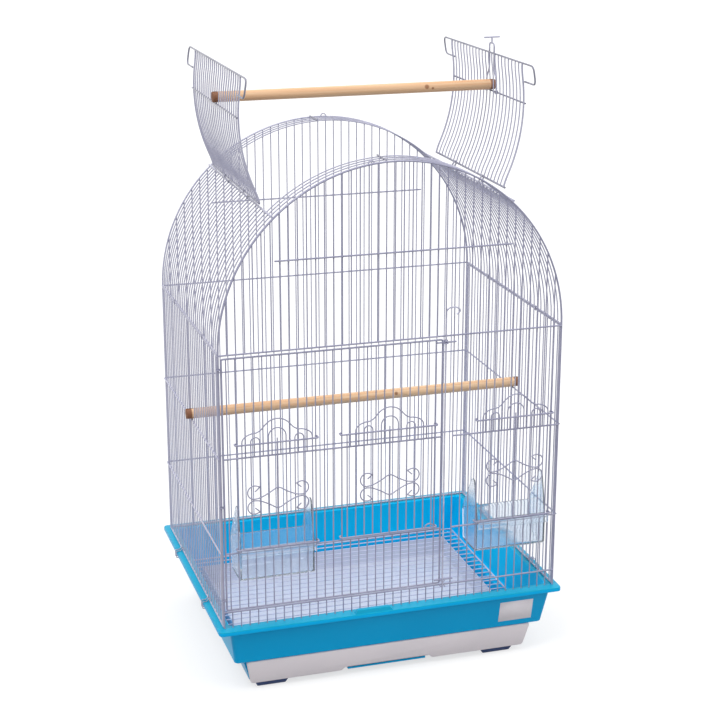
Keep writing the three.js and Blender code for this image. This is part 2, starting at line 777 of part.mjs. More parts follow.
function flap(name, sign) {
  const parts = [];
  const bottom = flapPlace(hingeRadius, flapStart);
  const top = flapPlace(hingeRadius, flapEnd);
  const curve = [];
  for (let i = 0; i <= flapSteps; i += 1) {
    curve.push(flapPlace(archRadius, flapStart + stepAngle * i));
  }
  curve[0] = bottom;
  curve[flapSteps] = top;
  const line = mirrorX(curve, sign);
  parts.push(rodY(sign * bottom[0], bottom[1], -flapHalf - postWire, flapHalf + postWire, rodRadius));
  for (let i = 0; i < flapWires; i += 1) {
    const y = -flapHalf + pitchSide * i;
    const size = i === 0 || i === flapWires - 1 ? postWire : fillWire;
    parts.push(bentWire(line, size, 'xz', y - size / 2, y + size / 2));
  }
  const cross = flapPlace(crosswireRadius, crosswireAngle);
  const turn = sign > 0 ? crosswireAngle * degree : Math.PI - crosswireAngle * degree;
  parts.push(rodY(sign * cross[0], cross[1], -flapHalf - barOverrun, flapHalf + barOverrun, crossRadius, turn));
  const earRadius = edgeRadius + postWire - seatGap;
  const earEnd = flapPlace(earRadius, flapEnd - earLength / hingeRadius / degree);
  const along = new THREE.Vector3(sign * (earEnd[0] - top[0]), 0, earEnd[1] - top[1]);
  const reach = along.length();
  along.normalize();
  const outerY = flapHalf + earReach;
  const half = [
    [reach, flapHalf],
    [reach, outerY - earCorner / 2],
    [reach - earCorner / 2, outerY],
    [earCorner, outerY - earCorner / 4],
    [0, outerY - earCorner],
  ];
  const loop = half.concat(half.slice().reverse().map(([u, y]) => [u, -y]));
  const shape = new THREE.Shape(ribbon(loop, postWire).map(toVector));
  const ear = new THREE.ExtrudeGeometry(shape, { depth: postWire, bevelEnabled: false, steps: 1 });
  ear.translate(0, 0, -postWire / 2);
  const across = new THREE.Vector3(0, 1, 0);
  const basis = new THREE.Matrix4().makeBasis(along, across, along.clone().cross(across));
  basis.setPosition(sign * top[0], 0, top[1]);
  ear.applyMatrix4(basis);
  parts.push(toSolid(ear));
  onFlap(part(name, join(parts), wireCoat), sign);
  [-1, 1].forEach((end) => {
    const from = end * clipOffsetY - clipWidth / 2;
    const line2 = mirrorX([[0, 0], bottom], sign);
    const band = slabWithHole(
      ovalPoints(line2[0], line2[1], clipOuter),
      ovalPoints(line2[0], line2[1], clipHole),
      from,
      from + clipWidth,
    );
    const clipName = `${name.replace('flap', 'flap_clip')}_${end < 0 ? 'front' : 'back'}`;
    onFlap(part(clipName, band, rodCoat), sign);
  });
}

flap('flap_left', -1);
flap('flap_right', 1);

// Roof catch: a wire loop on the right-hand flap's crosswire that reaches over both end rods

const perchY = -pitchSide;
const catchHalf = pitchSide * 1.5;
const catchNeck = 11;
const catchRise = 20;
const catchHole = crossRadius + passGap;
const catchWire = 1.5;
const catchCorner = 3;
const fingerHalf = 12;
const fingerRise = 3;
const stemLength = 7;
const catchOuter = catchHole + catchWire;
const catchPivot = flapPlace(crosswireRadius, crosswireAngle);
const catchLift = 1.6;
const catchPass = flapPlace(hingeRadius + rodRadius + barWire / 2 + catchLift, flapEnd);
const catchAlong = new THREE.Vector3(catchPass[0] - catchPivot[0], 0, catchPass[1] - catchPivot[1]);
const catchReach = catchAlong.length() + catchRise;
catchAlong.normalize();
const catchAcross = new THREE.Vector3(0, 1, 0);
const catchBasis = new THREE.Matrix4().makeBasis(catchAlong, catchAcross, catchAlong.clone().cross(catchAcross));
catchBasis.setPosition(catchPivot[0], 0, catchPivot[1]);
const catchHalfLine = [
  [catchHole + sink, catchHalf],
  [catchReach * 0.25, catchHalf],
  [catchReach * 0.45, catchNeck],
  [catchReach - catchCorner, catchNeck],
  [catchReach, catchNeck - catchCorner],
];
const catchLoop = catchHalfLine.concat(catchHalfLine.slice().reverse().map(([u, y]) => [u, -y]));
const catchShape = new THREE.Shape(ribbon(catchLoop.map(([u, y]) => [u, y + perchY]), barWire).map(toVector));
const catchBow = new THREE.ExtrudeGeometry(catchShape, { depth: barWire, bevelEnabled: false, steps: 1 });
catchBow.translate(0, 0, -barWire / 2);
catchBow.applyMatrix4(catchBasis);
const catchParts = [toSolid(catchBow)];
[-catchHalf, catchHalf].forEach((offset) => {
  catchParts.push(slabWithHole(
    hexagon(catchPivot[0], catchPivot[1], catchOuter / Math.cos(hexHalf)),
    hexagon(catchPivot[0], catchPivot[1], catchHole / Math.cos(hexHalf)),
    perchY + offset - barWire / 2,
    perchY + offset + barWire / 2,
  ));
});
const inward = catchAlong.clone().cross(catchAcross).multiplyScalar(-1);
const fingerTurn = inward.z < 0 ? 1 : -1;
const beside = ([u, w]) => [
  catchPivot[0] + catchAlong.x * u + inward.x * w * fingerTurn,
  catchPivot[1] + catchAlong.z * u + inward.z * w * fingerTurn,
];
const stem = [[catchReach, 0], [catchReach + stemLength, 0]];
const finger = [
  [catchReach + stemLength - fingerRise, -fingerHalf],
  [catchReach + stemLength + fingerRise, fingerHalf],
];
[stem, finger].forEach((line) => {
  catchParts.push(bentWire(line.map(beside), barWire, 'xz', perchY - barWire / 2, perchY + barWire / 2));
});
onFlap(part('roof_catch', join(catchParts), rodCoat), 1);

// Perches: pine dowels whose split ends straddle a wire at each side

function opened(point) {
  const angle = flapOpening * degree;
  return [
    hingeX + point[0] * Math.cos(angle) + point[1] * Math.sin(angle),
    hingeZ - point[0] * Math.sin(angle) + point[1] * Math.cos(angle),
  ];
}

const perchRadius = perchDiameter / 2;
const perchSides = 14;
const kerfWidth = fillWire + 2 * passGap;
const kerfDepth = perchDiameter;
const crosswireOpen = opened(flapPlace(crosswireRadius, crosswireAngle));
const perchUpperZ = crosswireOpen[1] + crossRadius + seatGap + perchRadius;
const flapLine = [];
for (let i = 0; i <= 8; i += 1) {
  flapLine.push(opened(flapPlace(archRadius, flapStart + ((flapEnd - flapStart) * i) / 8)));
}
let flapX = crosswireOpen[0];
for (let i = 0; i < 8; i += 1) {
  const [a, b] = [flapLine[i], flapLine[i + 1]];
  if (a[1] <= perchUpperZ && b[1] >= perchUpperZ) {
    flapX = a[0] + ((b[0] - a[0]) * (perchUpperZ - a[1])) / (b[1] - a[1]);
  }
}

function perch(name, wireX0, z) {
  const half = wireX0 + perchOverhang;
  const geometry = new THREE.CylinderGeometry(perchRadius, perchRadius, 2 * half, perchSides);
  geometry.rotateZ(Math.PI / 2);
  geometry.translate(0, perchY, z);
  let solid = toSolid(geometry);
  [-1, 1].forEach((sign) => {
    const ends = [sign * (half - kerfDepth), sign * (half + passGap)].sort((a, b) => a - b);
    solid = solid.subtract(block(
      ends[0],
      ends[1],
      perchY - kerfWidth / 2,
      perchY + kerfWidth / 2,
      z - perchDiameter,
      z + perchDiameter,
    ));
  });
  part(name, solid, perchPine);
}

perch('perch_upper', flapX, perchUpperZ);
const perchLowerZ = feederHead + barWire / 2 + seatGap + perchRadius;
perch('perch_lower', cageWidth / 2, perchLowerZ);

// Big front door, hinged on eyes around the left-hand post, with two openings

const doorX = (i) => doorFirst + pitchFront * i;
const leftFirst = Math.round((cageWidth * leftFeederShare - cageWidth / 2 - doorFirst) / pitchFront - feederPitches / 2);
const middleExtraPitches = 2;
const middlePitches = feederPitches + middleExtraPitches;
const middleFirst = Math.round((cageWidth * middleDoorShare - cageWidth / 2 - doorFirst) / pitchFront - middlePitches / 2);
const doorParts = [];
const doorMid = frontPlane;
[doorBottom, feederSill, feederHead, doorTop].forEach((z) => {
  doorParts.push(wireX(doorLeft, doorRight, doorMid, z, barWire));
});
[doorLeft, doorRight].forEach((x) => {
  doorParts.push(wireZ(doorBottom - barWire / 2, doorTop + barWire / 2, x, doorMid, postWire));
});
for (let i = 0; i < doorWires; i += 1) {
  const x = doorX(i);
  const inLeft = i > leftFirst && i < leftFirst + feederPitches;
  const inMiddle = i > middleFirst && i < middleFirst + middlePitches;
  doorParts.push(upperRun(x, doorBottom, feederSill));
  if (!inLeft && !inMiddle) {
    doorParts.push(upperRun(x, feederSill, feederHead));
  }
  doorParts.push(upperRun(x, feederHead, doorTop));
}
const eyeLowSetIn = 16;
const eyeHighSetIn = 14;
const stopLowSetIn = 5.5;
const stopHighSetIn = 3.5;
const eyeLevels = [doorBottom + eyeLowSetIn, (feederSill + feederHead) / 2, doorTop - eyeHighSetIn];
eyeLevels.forEach((z) => doorParts.push(eye(-postX, frontPlane, z, eyeHole, eyeOuter, barWire)));
const stopLevels = [doorBottom + stopLowSetIn, doorTop - stopHighSetIn];
stopLevels.forEach((z) => {
  doorParts.push(wireX(
    doorX(doorWires - 1) + runGap * 2,
    frontX(fixedFirst) + barWire,
    frontPlane - outerBarOffset,
    z,
    barWire,
  ));
  doorParts.push(eye(latchX, latchY, z, ringHole, ringOuter, barWire));
});
part('front_door', join(doorParts), wireCoat);

// Drop rod along the free edge of the big door, its tip through the eye on the sill

const rodRise = 37;
const handleLength = 20;
const handleShares = [[0.2, 0.2], [0.8, 0.2], [1, -0.05], [0.8, -0.25]];
const rodBottom = doorSill - barWire * 3.5;
const rodTop = springLine + rodRise;
const rodParts = [wireZ(rodBottom, rodTop, latchX, latchY, barWire)];
rodParts.push(block(
  latchX - ringOuter,
  latchX + ringOuter,
  latchY - barWire / 2,
  latchY + barWire / 2,
  stopLevels[1] + barWire / 2 + seatGap,
  stopLevels[1] + barWire / 2 + seatGap + barWire,
));
rodParts.push(bentWire(
  [
    [latchX, rodTop - barWire],
    ...handleShares.map(([u, v]) => [latchX + u * handleLength, rodTop + v * handleLength]),
  ],
  barWire,
  'xz',
  latchY - barWire / 2,
  latchY + barWire / 2,
));
part('latch_rod', join(rodParts), rodCoat);

// Sliding doors: upright wires that carry on over the top bar as arches, with a pair of scrolls

const slideY = frontPlane - outerBarOffset - barWire / 2 - runGap - fillWire / 2;
const slideBottom = feederSill + barWire + runGap * 4;
const slideTop = slideBottom + feederDoorHeight;
const scrollZ = slideTop - feederDoorHeight * scrollShare;
const ornamentWires = feederPitches;
const ornamentRise = 34.4;
const middleBowRise = 21;
const sideBowRise = 9.7;
const stubRise = 6.5;
const curlX = 33.7;
const curlZ = 11;
const curlRadius = 9.8;
const curlFrom = 45;
const curlTo = 270;
const scrollPeak = 15;
const curlStartShare = [0.98, 0.8];
const curlTailShares = [[0.742, 0.173], [0.371, 0.567], [0, 1]];
const waveShares = [
  [1, 0], [0.98, 0.218], [0.87, 0.372], [0.72, 0.453], [0.59, 0.474],
  [0.46, 0.581], [0.35, 0.756], [0.2, 0.93], [0, 1],
];

function slidingDoor(name, leftEdge, spaces) {
  const parts = [];
  const rightEdge = leftEdge + pitchFront * spaces;
  const centre = (leftEdge + rightEdge) / 2;
  const flat = (points, size) => bentWire(points, size, 'xz', slideY - size / 2, slideY + size / 2);
  for (let k = 0; k < spaces; k += 1) {
    const x = leftEdge + pitchFront / 2 + pitchFront * k;
    const size = Math.abs(x - centre) < pitchFront / 4 ? postWire : fillWire;
    parts.push(wireZ(slideBottom + barWire / 2 - sink, slideTop - barWire / 2 + sink, x, slideY, size));
  }
  const behind = frontPlane + fillWire / 2 + passGap + barWire / 2;
  const beyond = fillWire / 2 + runGap + barWire / 2;
  [slideBottom, slideTop].forEach((z) => {
    const bar = [
      [leftEdge + fillWire / 2, behind],
      [leftEdge - beyond, behind],
      [leftEdge - beyond, slideY],
      [rightEdge + beyond, slideY],
      [rightEdge + beyond, behind],
      [rightEdge - fillWire / 2, behind],
    ];
    parts.push(bentWire(bar, barWire, 'xy', z - barWire / 2, z + barWire / 2));
  });
  const half = (pitchFront * (ornamentWires - 1)) / 2;
  const wave = waveShares.map(([u, v]) => [centre - u * half, slideTop + v * ornamentRise]);
  const waveBack = wave.slice(0, -1).reverse().map(([x, z]) => [2 * centre - x, z]);
  parts.push(flat(wave.concat(waveBack), fillWire));
  const bow = (from, to, height, steps) => {
    const radius = ((to - from) * pitchFront) / 2;
    const middle = centre + ((from + to) * pitchFront) / 2;
    const line = arcPoints(middle, slideTop + height - radius, radius, halfTurn, 0, steps);
    return flat([[middle - radius, slideTop]].concat(line, [[middle + radius, slideTop]]), fillWire);
  };
  parts.push(bow(-1, 1, middleBowRise, 6));
  parts.push(bow(-3, -2, sideBowRise, 4));
  parts.push(bow(2, 3, sideBowRise, 4));
  parts.push(wireZ(slideTop, slideTop + stubRise, centre, slideY, fillWire));
  [1, -1].forEach((up) => {
    const start = [-curlX * curlStartShare[0], scrollPeak * curlStartShare[1]];
    const tail = curlTailShares.map(([u, v]) => [-curlX * u, scrollPeak * v]);
    const left = [start].concat(arcPoints(-curlX, curlZ, curlRadius, curlFrom, curlTo, 5), tail);
    const right = left.slice(0, -1).reverse().map(([u, v]) => [-u, v]);
    const line = left.concat(right).map(([u, v]) => [centre + u, scrollZ + up * v]);
    const scrollBack = slideY - postWire / 2 + seatGap;
    parts.push(bentWire(line, fillWire, 'xz', scrollBack - fillWire, scrollBack));
  });
  part(name, join(parts), wireCoat);
}

slidingDoor('feeder_door_left', doorX(leftFirst), feederPitches);
slidingDoor('middle_door', doorX(middleFirst), middlePitches);
slidingDoor('feeder_door_right', frontX(feederRightFirst), feederPitches);

// Feeder cups: clear boxes that hang inside on the level wire, with a lip outside and side wings

const cupWall = 2;
const cupTopZ = feederSill + barWire / 2 + seatGap;
const cupBottomZ = feederSill - cupDrop;
const cupFront = frontPlane + postWire / 2 + passGap;
const cupBack = cupFront + cupDepth;
const lipDrop = 9;
const lipOut = 3.6;
const lipThickness = 2;
const wingRise = 62;
const shoulderRise = 14;
const toeCut = 6;
const heelSet = 14;
const heelRise = 12;
const backSlope = 2;
const wingBack = 22;
const wingFront = 14;
const wingFoot = 4;
const wingFootRise = 20;
const sumpInset = 4;

function feederCup(name, leftEdge) {
  const x0 = leftEdge + fillWire + runGap;
  const x1 = leftEdge + pitchFront * feederPitches - fillWire - runGap;
  const lipY = slideY - fillWire - lipOut;
  const wingTop = cupBottomZ + cupDrop + wingRise;
  const outer = slab(
    [
      [cupFront, cupTopZ + cupWall],
      [cupFront, cupBottomZ + toeCut],
      [cupFront + toeCut, cupBottomZ],
      [cupBack - heelSet, cupBottomZ],
      [cupBack - backSlope, cupBottomZ + heelRise],
      [cupBack, cupTopZ + cupWall],
      [cupBack - toeCut, cupTopZ + shoulderRise],
      [cupFront + wingBack, wingTop],
      [cupFront + wingFront, wingTop],
      [cupFront + wingFoot, cupTopZ + wingFootRise],
    ],
    'yz',
    x0,
    x1,
  );
  const wide = block(
    x0 + cupWall,
    x1 - cupWall,
    cupFront - cupWall,
    cupBack + cupWall,
    cupTopZ + cupWall,
    wingTop + cupWall,
  );
  const hollow = block(
    x0 + cupWall,
    x1 - cupWall,
    cupFront + cupWall,
    cupBack - backSlope - cupWall,
    cupBottomZ + heelRise,
    cupTopZ + cupWall * 2,
  );
  const sump = block(
    x0 + cupWall + sumpInset,
    x1 - cupWall - sumpInset,
    cupFront + cupWall + sumpInset,
    cupBack - heelSet,
    cupBottomZ + cupWall,
    cupBottomZ + heelRise + cupWall,
  );
  const bridge = block(x0, x1, lipY, cupFront + sink, cupTopZ, cupTopZ + cupWall);
  const lip = slab(
    [
      [lipY, cupTopZ + cupWall],
      [lipY, cupTopZ - lipDrop + lipThickness],
      [lipY + lipThickness, cupTopZ - lipDrop],
      [lipY + lipOut + lipThickness, cupTopZ - lipDrop + lipThickness / 2],
      [lipY + lipOut + lipThickness, cupTopZ + cupWall],
    ],
    'yz',
    x0,
    x1,
  );
  const body = outer.subtract(wide).subtract(hollow).subtract(sump);
  part(name, join([body, bridge, lip]), cupClear);
}

feederCup('feeder_cup_left', doorX(leftFirst));
feederCup('feeder_cup_right', frontX(feederRightFirst));

// Clips: bands that tie the roof to the side walls, and spring clips that hold the walls to the rim

const tiePitches = 7.5;
const tieY = pitchSide * tiePitches;
const tieWall = 1.2;
const tieHalf = 2;
const clipSheet = 1.4;
const clipHalf = 4;
const clipLift = clipSheet / 2 + passGap + seatGap / 3;
const clipHook = 3;
const clipShoulder = 2.6;
const clipElbow = 4.2;

[-1, 1].forEach((side) => {
  [-1, 1].forEach((end) => {
    const suffix = `${side < 0 ? 'left' : 'right'}_${end < 0 ? 'front' : 'back'}`;
    const x = (side * cageWidth) / 2;
    const halfX = postWire / 2 + seatGap;
    const halfZ = postWire + seatGap * 1.5;
    const frameRing = (grow) => [
      [x - halfX - grow, springLine - halfZ - grow],
      [x + halfX + grow, springLine - halfZ - grow],
      [x + halfX + grow, springLine + halfZ + grow],
      [x - halfX - grow, springLine + halfZ + grow],
    ];
    const band = slabWithHole(frameRing(tieWall), frameRing(0), end * tieY - tieHalf, end * tieY + tieHalf);
    part(`roof_tie_${suffix}`, band, rodCoat);
    const clipTop = panelBottom + postWire + clipLift;
    const clipSide = rimHalfX + clipLift;
    const clipLine = [
      [x - side * clipHook, clipTop],
      [x + side * clipShoulder, clipTop],
      [x + side * clipElbow, rimTop + clipLift],
      [side * clipSide, rimTop + clipLift],
      [side * clipSide, lipBottom - clipLift],
      [side * (rimHalfX - clipHook), lipBottom - clipLift],
    ];
    const clip = bentWire(clipLine, clipSheet, 'xz', end * tieY - clipHalf, end * tieY + clipHalf);
    part(`base_clip_${suffix}`, clip, rodCoat);
  });
});

const triangles = cage.children.reduce((sum, mesh) => sum + mesh.geometry.index.count / 3, 0);
console.log(`${cage.children.length} pieces, ${triangles} triangles`);

export default cage;
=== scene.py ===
import math

import bmesh
import bpy
from mathutils import Matrix, Vector


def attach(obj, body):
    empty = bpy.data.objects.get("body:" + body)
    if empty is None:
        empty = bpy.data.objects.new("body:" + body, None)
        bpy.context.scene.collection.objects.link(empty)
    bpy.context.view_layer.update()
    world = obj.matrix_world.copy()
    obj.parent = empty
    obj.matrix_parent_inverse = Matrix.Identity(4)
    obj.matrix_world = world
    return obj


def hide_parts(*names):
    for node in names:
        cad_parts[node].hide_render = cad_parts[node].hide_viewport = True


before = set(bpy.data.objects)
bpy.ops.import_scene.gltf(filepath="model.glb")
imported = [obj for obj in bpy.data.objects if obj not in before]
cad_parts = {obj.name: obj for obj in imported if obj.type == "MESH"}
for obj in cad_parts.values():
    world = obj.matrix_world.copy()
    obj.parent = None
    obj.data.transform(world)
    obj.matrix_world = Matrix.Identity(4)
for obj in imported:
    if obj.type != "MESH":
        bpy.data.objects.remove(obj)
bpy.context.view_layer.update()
scene = bpy.context.scene
mm = 0.001

# Lengths are in millimetres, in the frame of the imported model, but for the camera's place and
# the floor, which are in metres

cage = {
    "halfWidth": 250.0,
    "halfDepth": 190.0,
    "rimTop": 108.0,
    "wallFoot": 108.3,
    "springLine": 510.0,
    "archRadius": 250.0,
    "frontPitch": 12.5,
    "sidePitch": 380 / 30,
    "frontSpaces": 40,
    "sideSpaces": 30,
    "sillLevel": 132.5,
    "feederSill": 221.16,
    "feederHead": 361.14,
    "archBar": 635.0,
    "archBarHalf": 170.0,
    "seat": 0.3,  # the front and back frames stand this far inside the side walls
    "fill": 1.8,
    "bar": 2.4,
    "post": 2.6,
    "rod": 3.0,
    "weld": 0.25,  # how far two welded wires sink into each other
    "roundness": 3,
    "ringSteps": 20,
}

fill, bar, post, rod = [cage[word] for word in ("fill", "bar", "post", "rod")]
feederLevels = (cage["feederSill"], cage["feederHead"])
frontY = -cage["halfDepth"]
backY = cage["halfDepth"]
postX = cage["halfWidth"] - cage["seat"]
railZ = cage["wallFoot"] + post / 2
sides = ((-1, "Left"), (1, "Right"))
ends = ((-1, "Front"), (1, "Back"))


# Colours as they look on screen, turned into the linear values that shaders take
def tint(*shades):
    return (*[c / 12.92 if c <= 0.04045 else ((c + 0.055) / 1.055) ** 2.4 for c in shades], 1.0)


def towards(turn, lift):
    # points from the cage to whatever stands at this turn about it and this height
    flat = math.cos(lift)
    return Vector((math.sin(turn) * flat, -math.cos(turn) * flat, math.sin(lift)))


# Camera

view = {
    "place": (-0.7252, -2.3531, 1.1970),
    "azimuth": math.radians(-17.33),
    "elevation": math.radians(17.42),
    "roll": math.radians(0.0346),
    "lens": 86.335,
    "sensor": 36,
}


def makeCamera():
    turn, roll = view["azimuth"], view["roll"]
    back = towards(turn, view["elevation"])
    right = Vector((math.cos(turn), math.sin(turn), 0))
    up = back.cross(right)
    rolledRight = right * math.cos(roll) + up * math.sin(roll)
    rolledUp = up * math.cos(roll) - right * math.sin(roll)
    data = bpy.data.cameras.new("camera")
    data.sensor_width = view["sensor"]
    data.lens = view["lens"]
    camera = bpy.data.objects.new("camera", data)
    axes = Matrix((rolledRight, rolledUp, back)).transposed().to_4x4()
    axes.translation = Vector(view["place"])
    camera.matrix_world = axes
    scene.collection.objects.link(camera)
    scene.camera = camera


makeCamera()
print("camera is in place")


# Shader node groups, each used by more than one finish

def setValues(node, values):
    for label, value in values.items():
        node.inputs[label].default_value = value


def addNode(tree, kind, values=None, **settings):
    node = tree.nodes.new("ShaderNode" + kind)
    for label, value in settings.items():
        setattr(node, label, value)
    setValues(node, values or {})
    return node


def feed(source, output, target, place):
    source.id_data.links.new(source.outputs[output], target.inputs[place])


def newGroup(name, inputs, outputs):
    group = bpy.data.node_groups.new(name, "ShaderNodeTree")
    for way, sockets in (("INPUT", inputs), ("OUTPUT", outputs)):
        for label, kind in sockets.items():
            kind = "NodeSocket" + kind
            group.interface.new_socket(name=label, in_out=way, socket_type=kind)
    return group, group.nodes.new("NodeGroupInput"), group.nodes.new("NodeGroupOutput")


def makeMottle():
    # cloudy change between two colours, with roughness that follows it
    group, given, result = newGroup(
        "mottle",
        {
            "Light Tone": "Color", "Dark Tone": "Color", "Size": "Float",
            "Low Roughness": "Float", "High Roughness": "Float",
        },
        {"Color": "Color", "Roughness": "Float"},
    )
    place = addNode(group, "TexCoord")
    cloud = addNode(group, "TexNoise", {"Detail": 4})
    blend = addNode(group, "Mix", data_type="RGBA")
    cloudRange = {"From Min": 0.3, "From Max": 0.7}
    spread = addNode(group, "MapRange", cloudRange)
    rough = addNode(group, "MapRange", cloudRange)
    feed(place, "Object", cloud, "Vector")
    feed(given, "Size", cloud, "Scale")
    feed(cloud, "Fac", spread, "Value")
    feed(spread, "Result", blend, "Factor")
    feed(given, "Light Tone", blend, "A")
    feed(given, "Dark Tone", blend, "B")
    feed(cloud, "Fac", rough, "Value")
    feed(given, "Low Roughness", rough, "To Min")
    feed(given, "High Roughness", rough, "To Max")
    feed(blend, "Result", result, "Color")
    feed(rough, "Result", result, "Roughness")
    return group


def makePeel():
    # fine uneven skin of a sprayed or moulded surface
    sizes = {"Fine Size": "Float", "Broad Size": "Float"}
    group, given, result = newGroup("peel", sizes, {"Height": "Float"})
    place = addNode(group, "TexCoord")
    total = addNode(group, "Math", {1: 0.4}, operation="MULTIPLY_ADD")
    for label, slot in (("Fine Size", 0), ("Broad Size", 2)):
        skin = addNode(group, "TexNoise", {"Detail": 2})
        feed(place, "Object", skin, "Vector")
        feed(given, label, skin, "Scale")
        feed(skin, "Fac", total, slot)
    feed(total, "Value", result, "Height")
    return group


mottleGroup = makeMottle()
peelGroup = makePeel()


def newMaterial(name):
    material = bpy.data.materials.new(name)
    material.use_nodes = True
    return material, material.node_tree, material.node_tree.nodes["Principled BSDF"]


def addMottle(tree, shader, light, dark, size, rough):
    mottle = addNode(tree, "Group", {
        "Light Tone": tint(*light), "Dark Tone": tint(*dark), "Size": size,
        "Low Roughness": rough[0], "High Roughness": rough[1],
    }, node_tree=mottleGroup)
    feed(mottle, "Color", shader, "Base Color")
    feed(mottle, "Roughness", shader, "Roughness")


def coatedMaterial(name, light, dark, surface, shaderValues=None):
    material, tree, shader = newMaterial(name)
    addMottle(tree, shader, light, dark, surface["size"], surface["rough"])
    peel = dict(zip(("Fine Size", "Broad Size"), surface["peel"]))
    skin = addNode(tree, "Group", peel, node_tree=peelGroup)
    relief = addNode(tree, "Bump", {"Strength": surface["bump"], "Distance": 0.0003})
    feed(skin, "Height", relief, "Height")
    feed(relief, "Normal", shader, "Normal")
    setValues(shader, shaderValues or {})
    return material


# size of the mottling, range of roughness, fine and broad skin, strength of the skin
sprayed = {"size": 30, "rough": (0.28, 0.4), "peel": (1500, 260), "bump": 0.12}
plated = {"size": 60, "rough": (0.22, 0.38), "peel": (900, 180), "bump": 0.1}
moulded = {"size": 7, "rough": (0.3, 0.4), "peel": (700, 60), "bump": 0.08}
satin = {**moulded, "size": 9, "rough": (0.32, 0.45)}
rubbery = {"size": 40, "rough": (0.5, 0.65), "peel": (1200, 200), "bump": 0.2}
papery = {"size": 50, "rough": (0.55, 0.7), "peel": (1500, 300), "bump": 0.1}
thinCoat = {"Coat Weight": 0.2, "Coat Roughness": 0.12}
fullCoat = {"Coat Weight": 0.3, "Coat Roughness": 0.1}
specular = "Specular IOR Level"

wireCoat = coatedMaterial("wireCoat", (0.73, 0.73, 0.80), (0.66, 0.66, 0.75), sprayed, thinCoat)
# painted shade: a darker, glossier copy of the wire coat for the front wall and its doors, standing
# in for the shade on their faces
frontShadeCoat = coatedMaterial(
    "frontShadeCoat", (0.62, 0.62, 0.71), (0.55, 0.55, 0.65),
    {**sprayed, "rough": (0.26, 0.38)}, fullCoat,
)
# painted light: a lighter copy of the wire coat for the floor grille, whose wires face up to the
# light
grilleLitCoat = coatedMaterial("grilleLitCoat", (0.81, 0.82, 0.90), (0.76, 0.77, 0.86), sprayed, thinCoat)
# painted shade: a darker copy of the wire coat for the flap frames and the strips' crosswires,
# standing in for the shade on them
rodShadeCoat = coatedMaterial(
    "rodShadeCoat", (0.56, 0.56, 0.63), (0.48, 0.48, 0.55),
    {**sprayed, "rough": (0.25, 0.38)}, fullCoat,
)
hardwareZinc = coatedMaterial(
    "hardwareZinc", (0.72, 0.72, 0.78), (0.58, 0.58, 0.66), plated, {"Metallic": 0.75},
)
tubPlastic = coatedMaterial(
    "tubPlastic", (0.0, 0.675, 0.9), (0.0, 0.65, 0.875), moulded, {specular: 0.12},
)
# painted light: a brighter copy of the tub plastic for the faces inside the basin, standing in for
# light bouncing inside
tubInsideLit = coatedMaterial(
    "tubInsideLit", (0.0, 0.73, 0.94), (0.0, 0.71, 0.91), moulded, {specular: 0.12},
)
# painted highlight: a copy of the tub plastic with its own tint and more shine for the faces on the
# rim, standing in for the rim's highlights
tubRimSheen = coatedMaterial(
    "tubRimSheen", (0.01, 0.645, 0.79), (0.0, 0.62, 0.765), moulded, {specular: 0.22},
)
drawerPlastic = coatedMaterial(
    "drawerPlastic", (0.92, 0.89, 0.905), (0.895, 0.868, 0.885), satin, {specular: 0.35},
)
trayPlastic = coatedMaterial("trayPlastic", (0.82, 0.84, 0.895), (0.80, 0.82, 0.88), satin)
footRubber = coatedMaterial("footRubber", (0.0, 0.20, 0.42), (0.0, 0.14, 0.34), rubbery)
labelPaper = coatedMaterial("labelPaper", (0.90, 0.88, 0.90), (0.87, 0.85, 0.87), papery)


def makeCupPlastic():
    material, tree, shader = newMaterial("cupPlastic")
    addMottle(tree, shader, (0.96, 0.98, 1.0), (0.93, 0.96, 0.99), 25, (0.04, 0.12))
    setValues(shader, {"Transmission Weight": 0.92, "IOR": 1.3})
    return material


cupPlastic = makeCupPlastic()

pine = {
    "light": tint(0.91, 0.78, 0.63),
    "dark": tint(0.86, 0.66, 0.49),
    "toneRange": (0.35, 0.72),
    "knot": tint(0.55, 0.34, 0.20),
    "knotFade": 2.2,
    "knotDepth": 0.8,
    # the last few millimetres at each end of a perch are darker
    "darkEnds": tint(0.52, 0.34, 0.23),
    "endReach": (9.0, 7.0),  # where the dark of the ends starts and is full
    "grainStretch": (3.0, 160.0, 160.0),
    "rough": (0.5, 0.7),
}


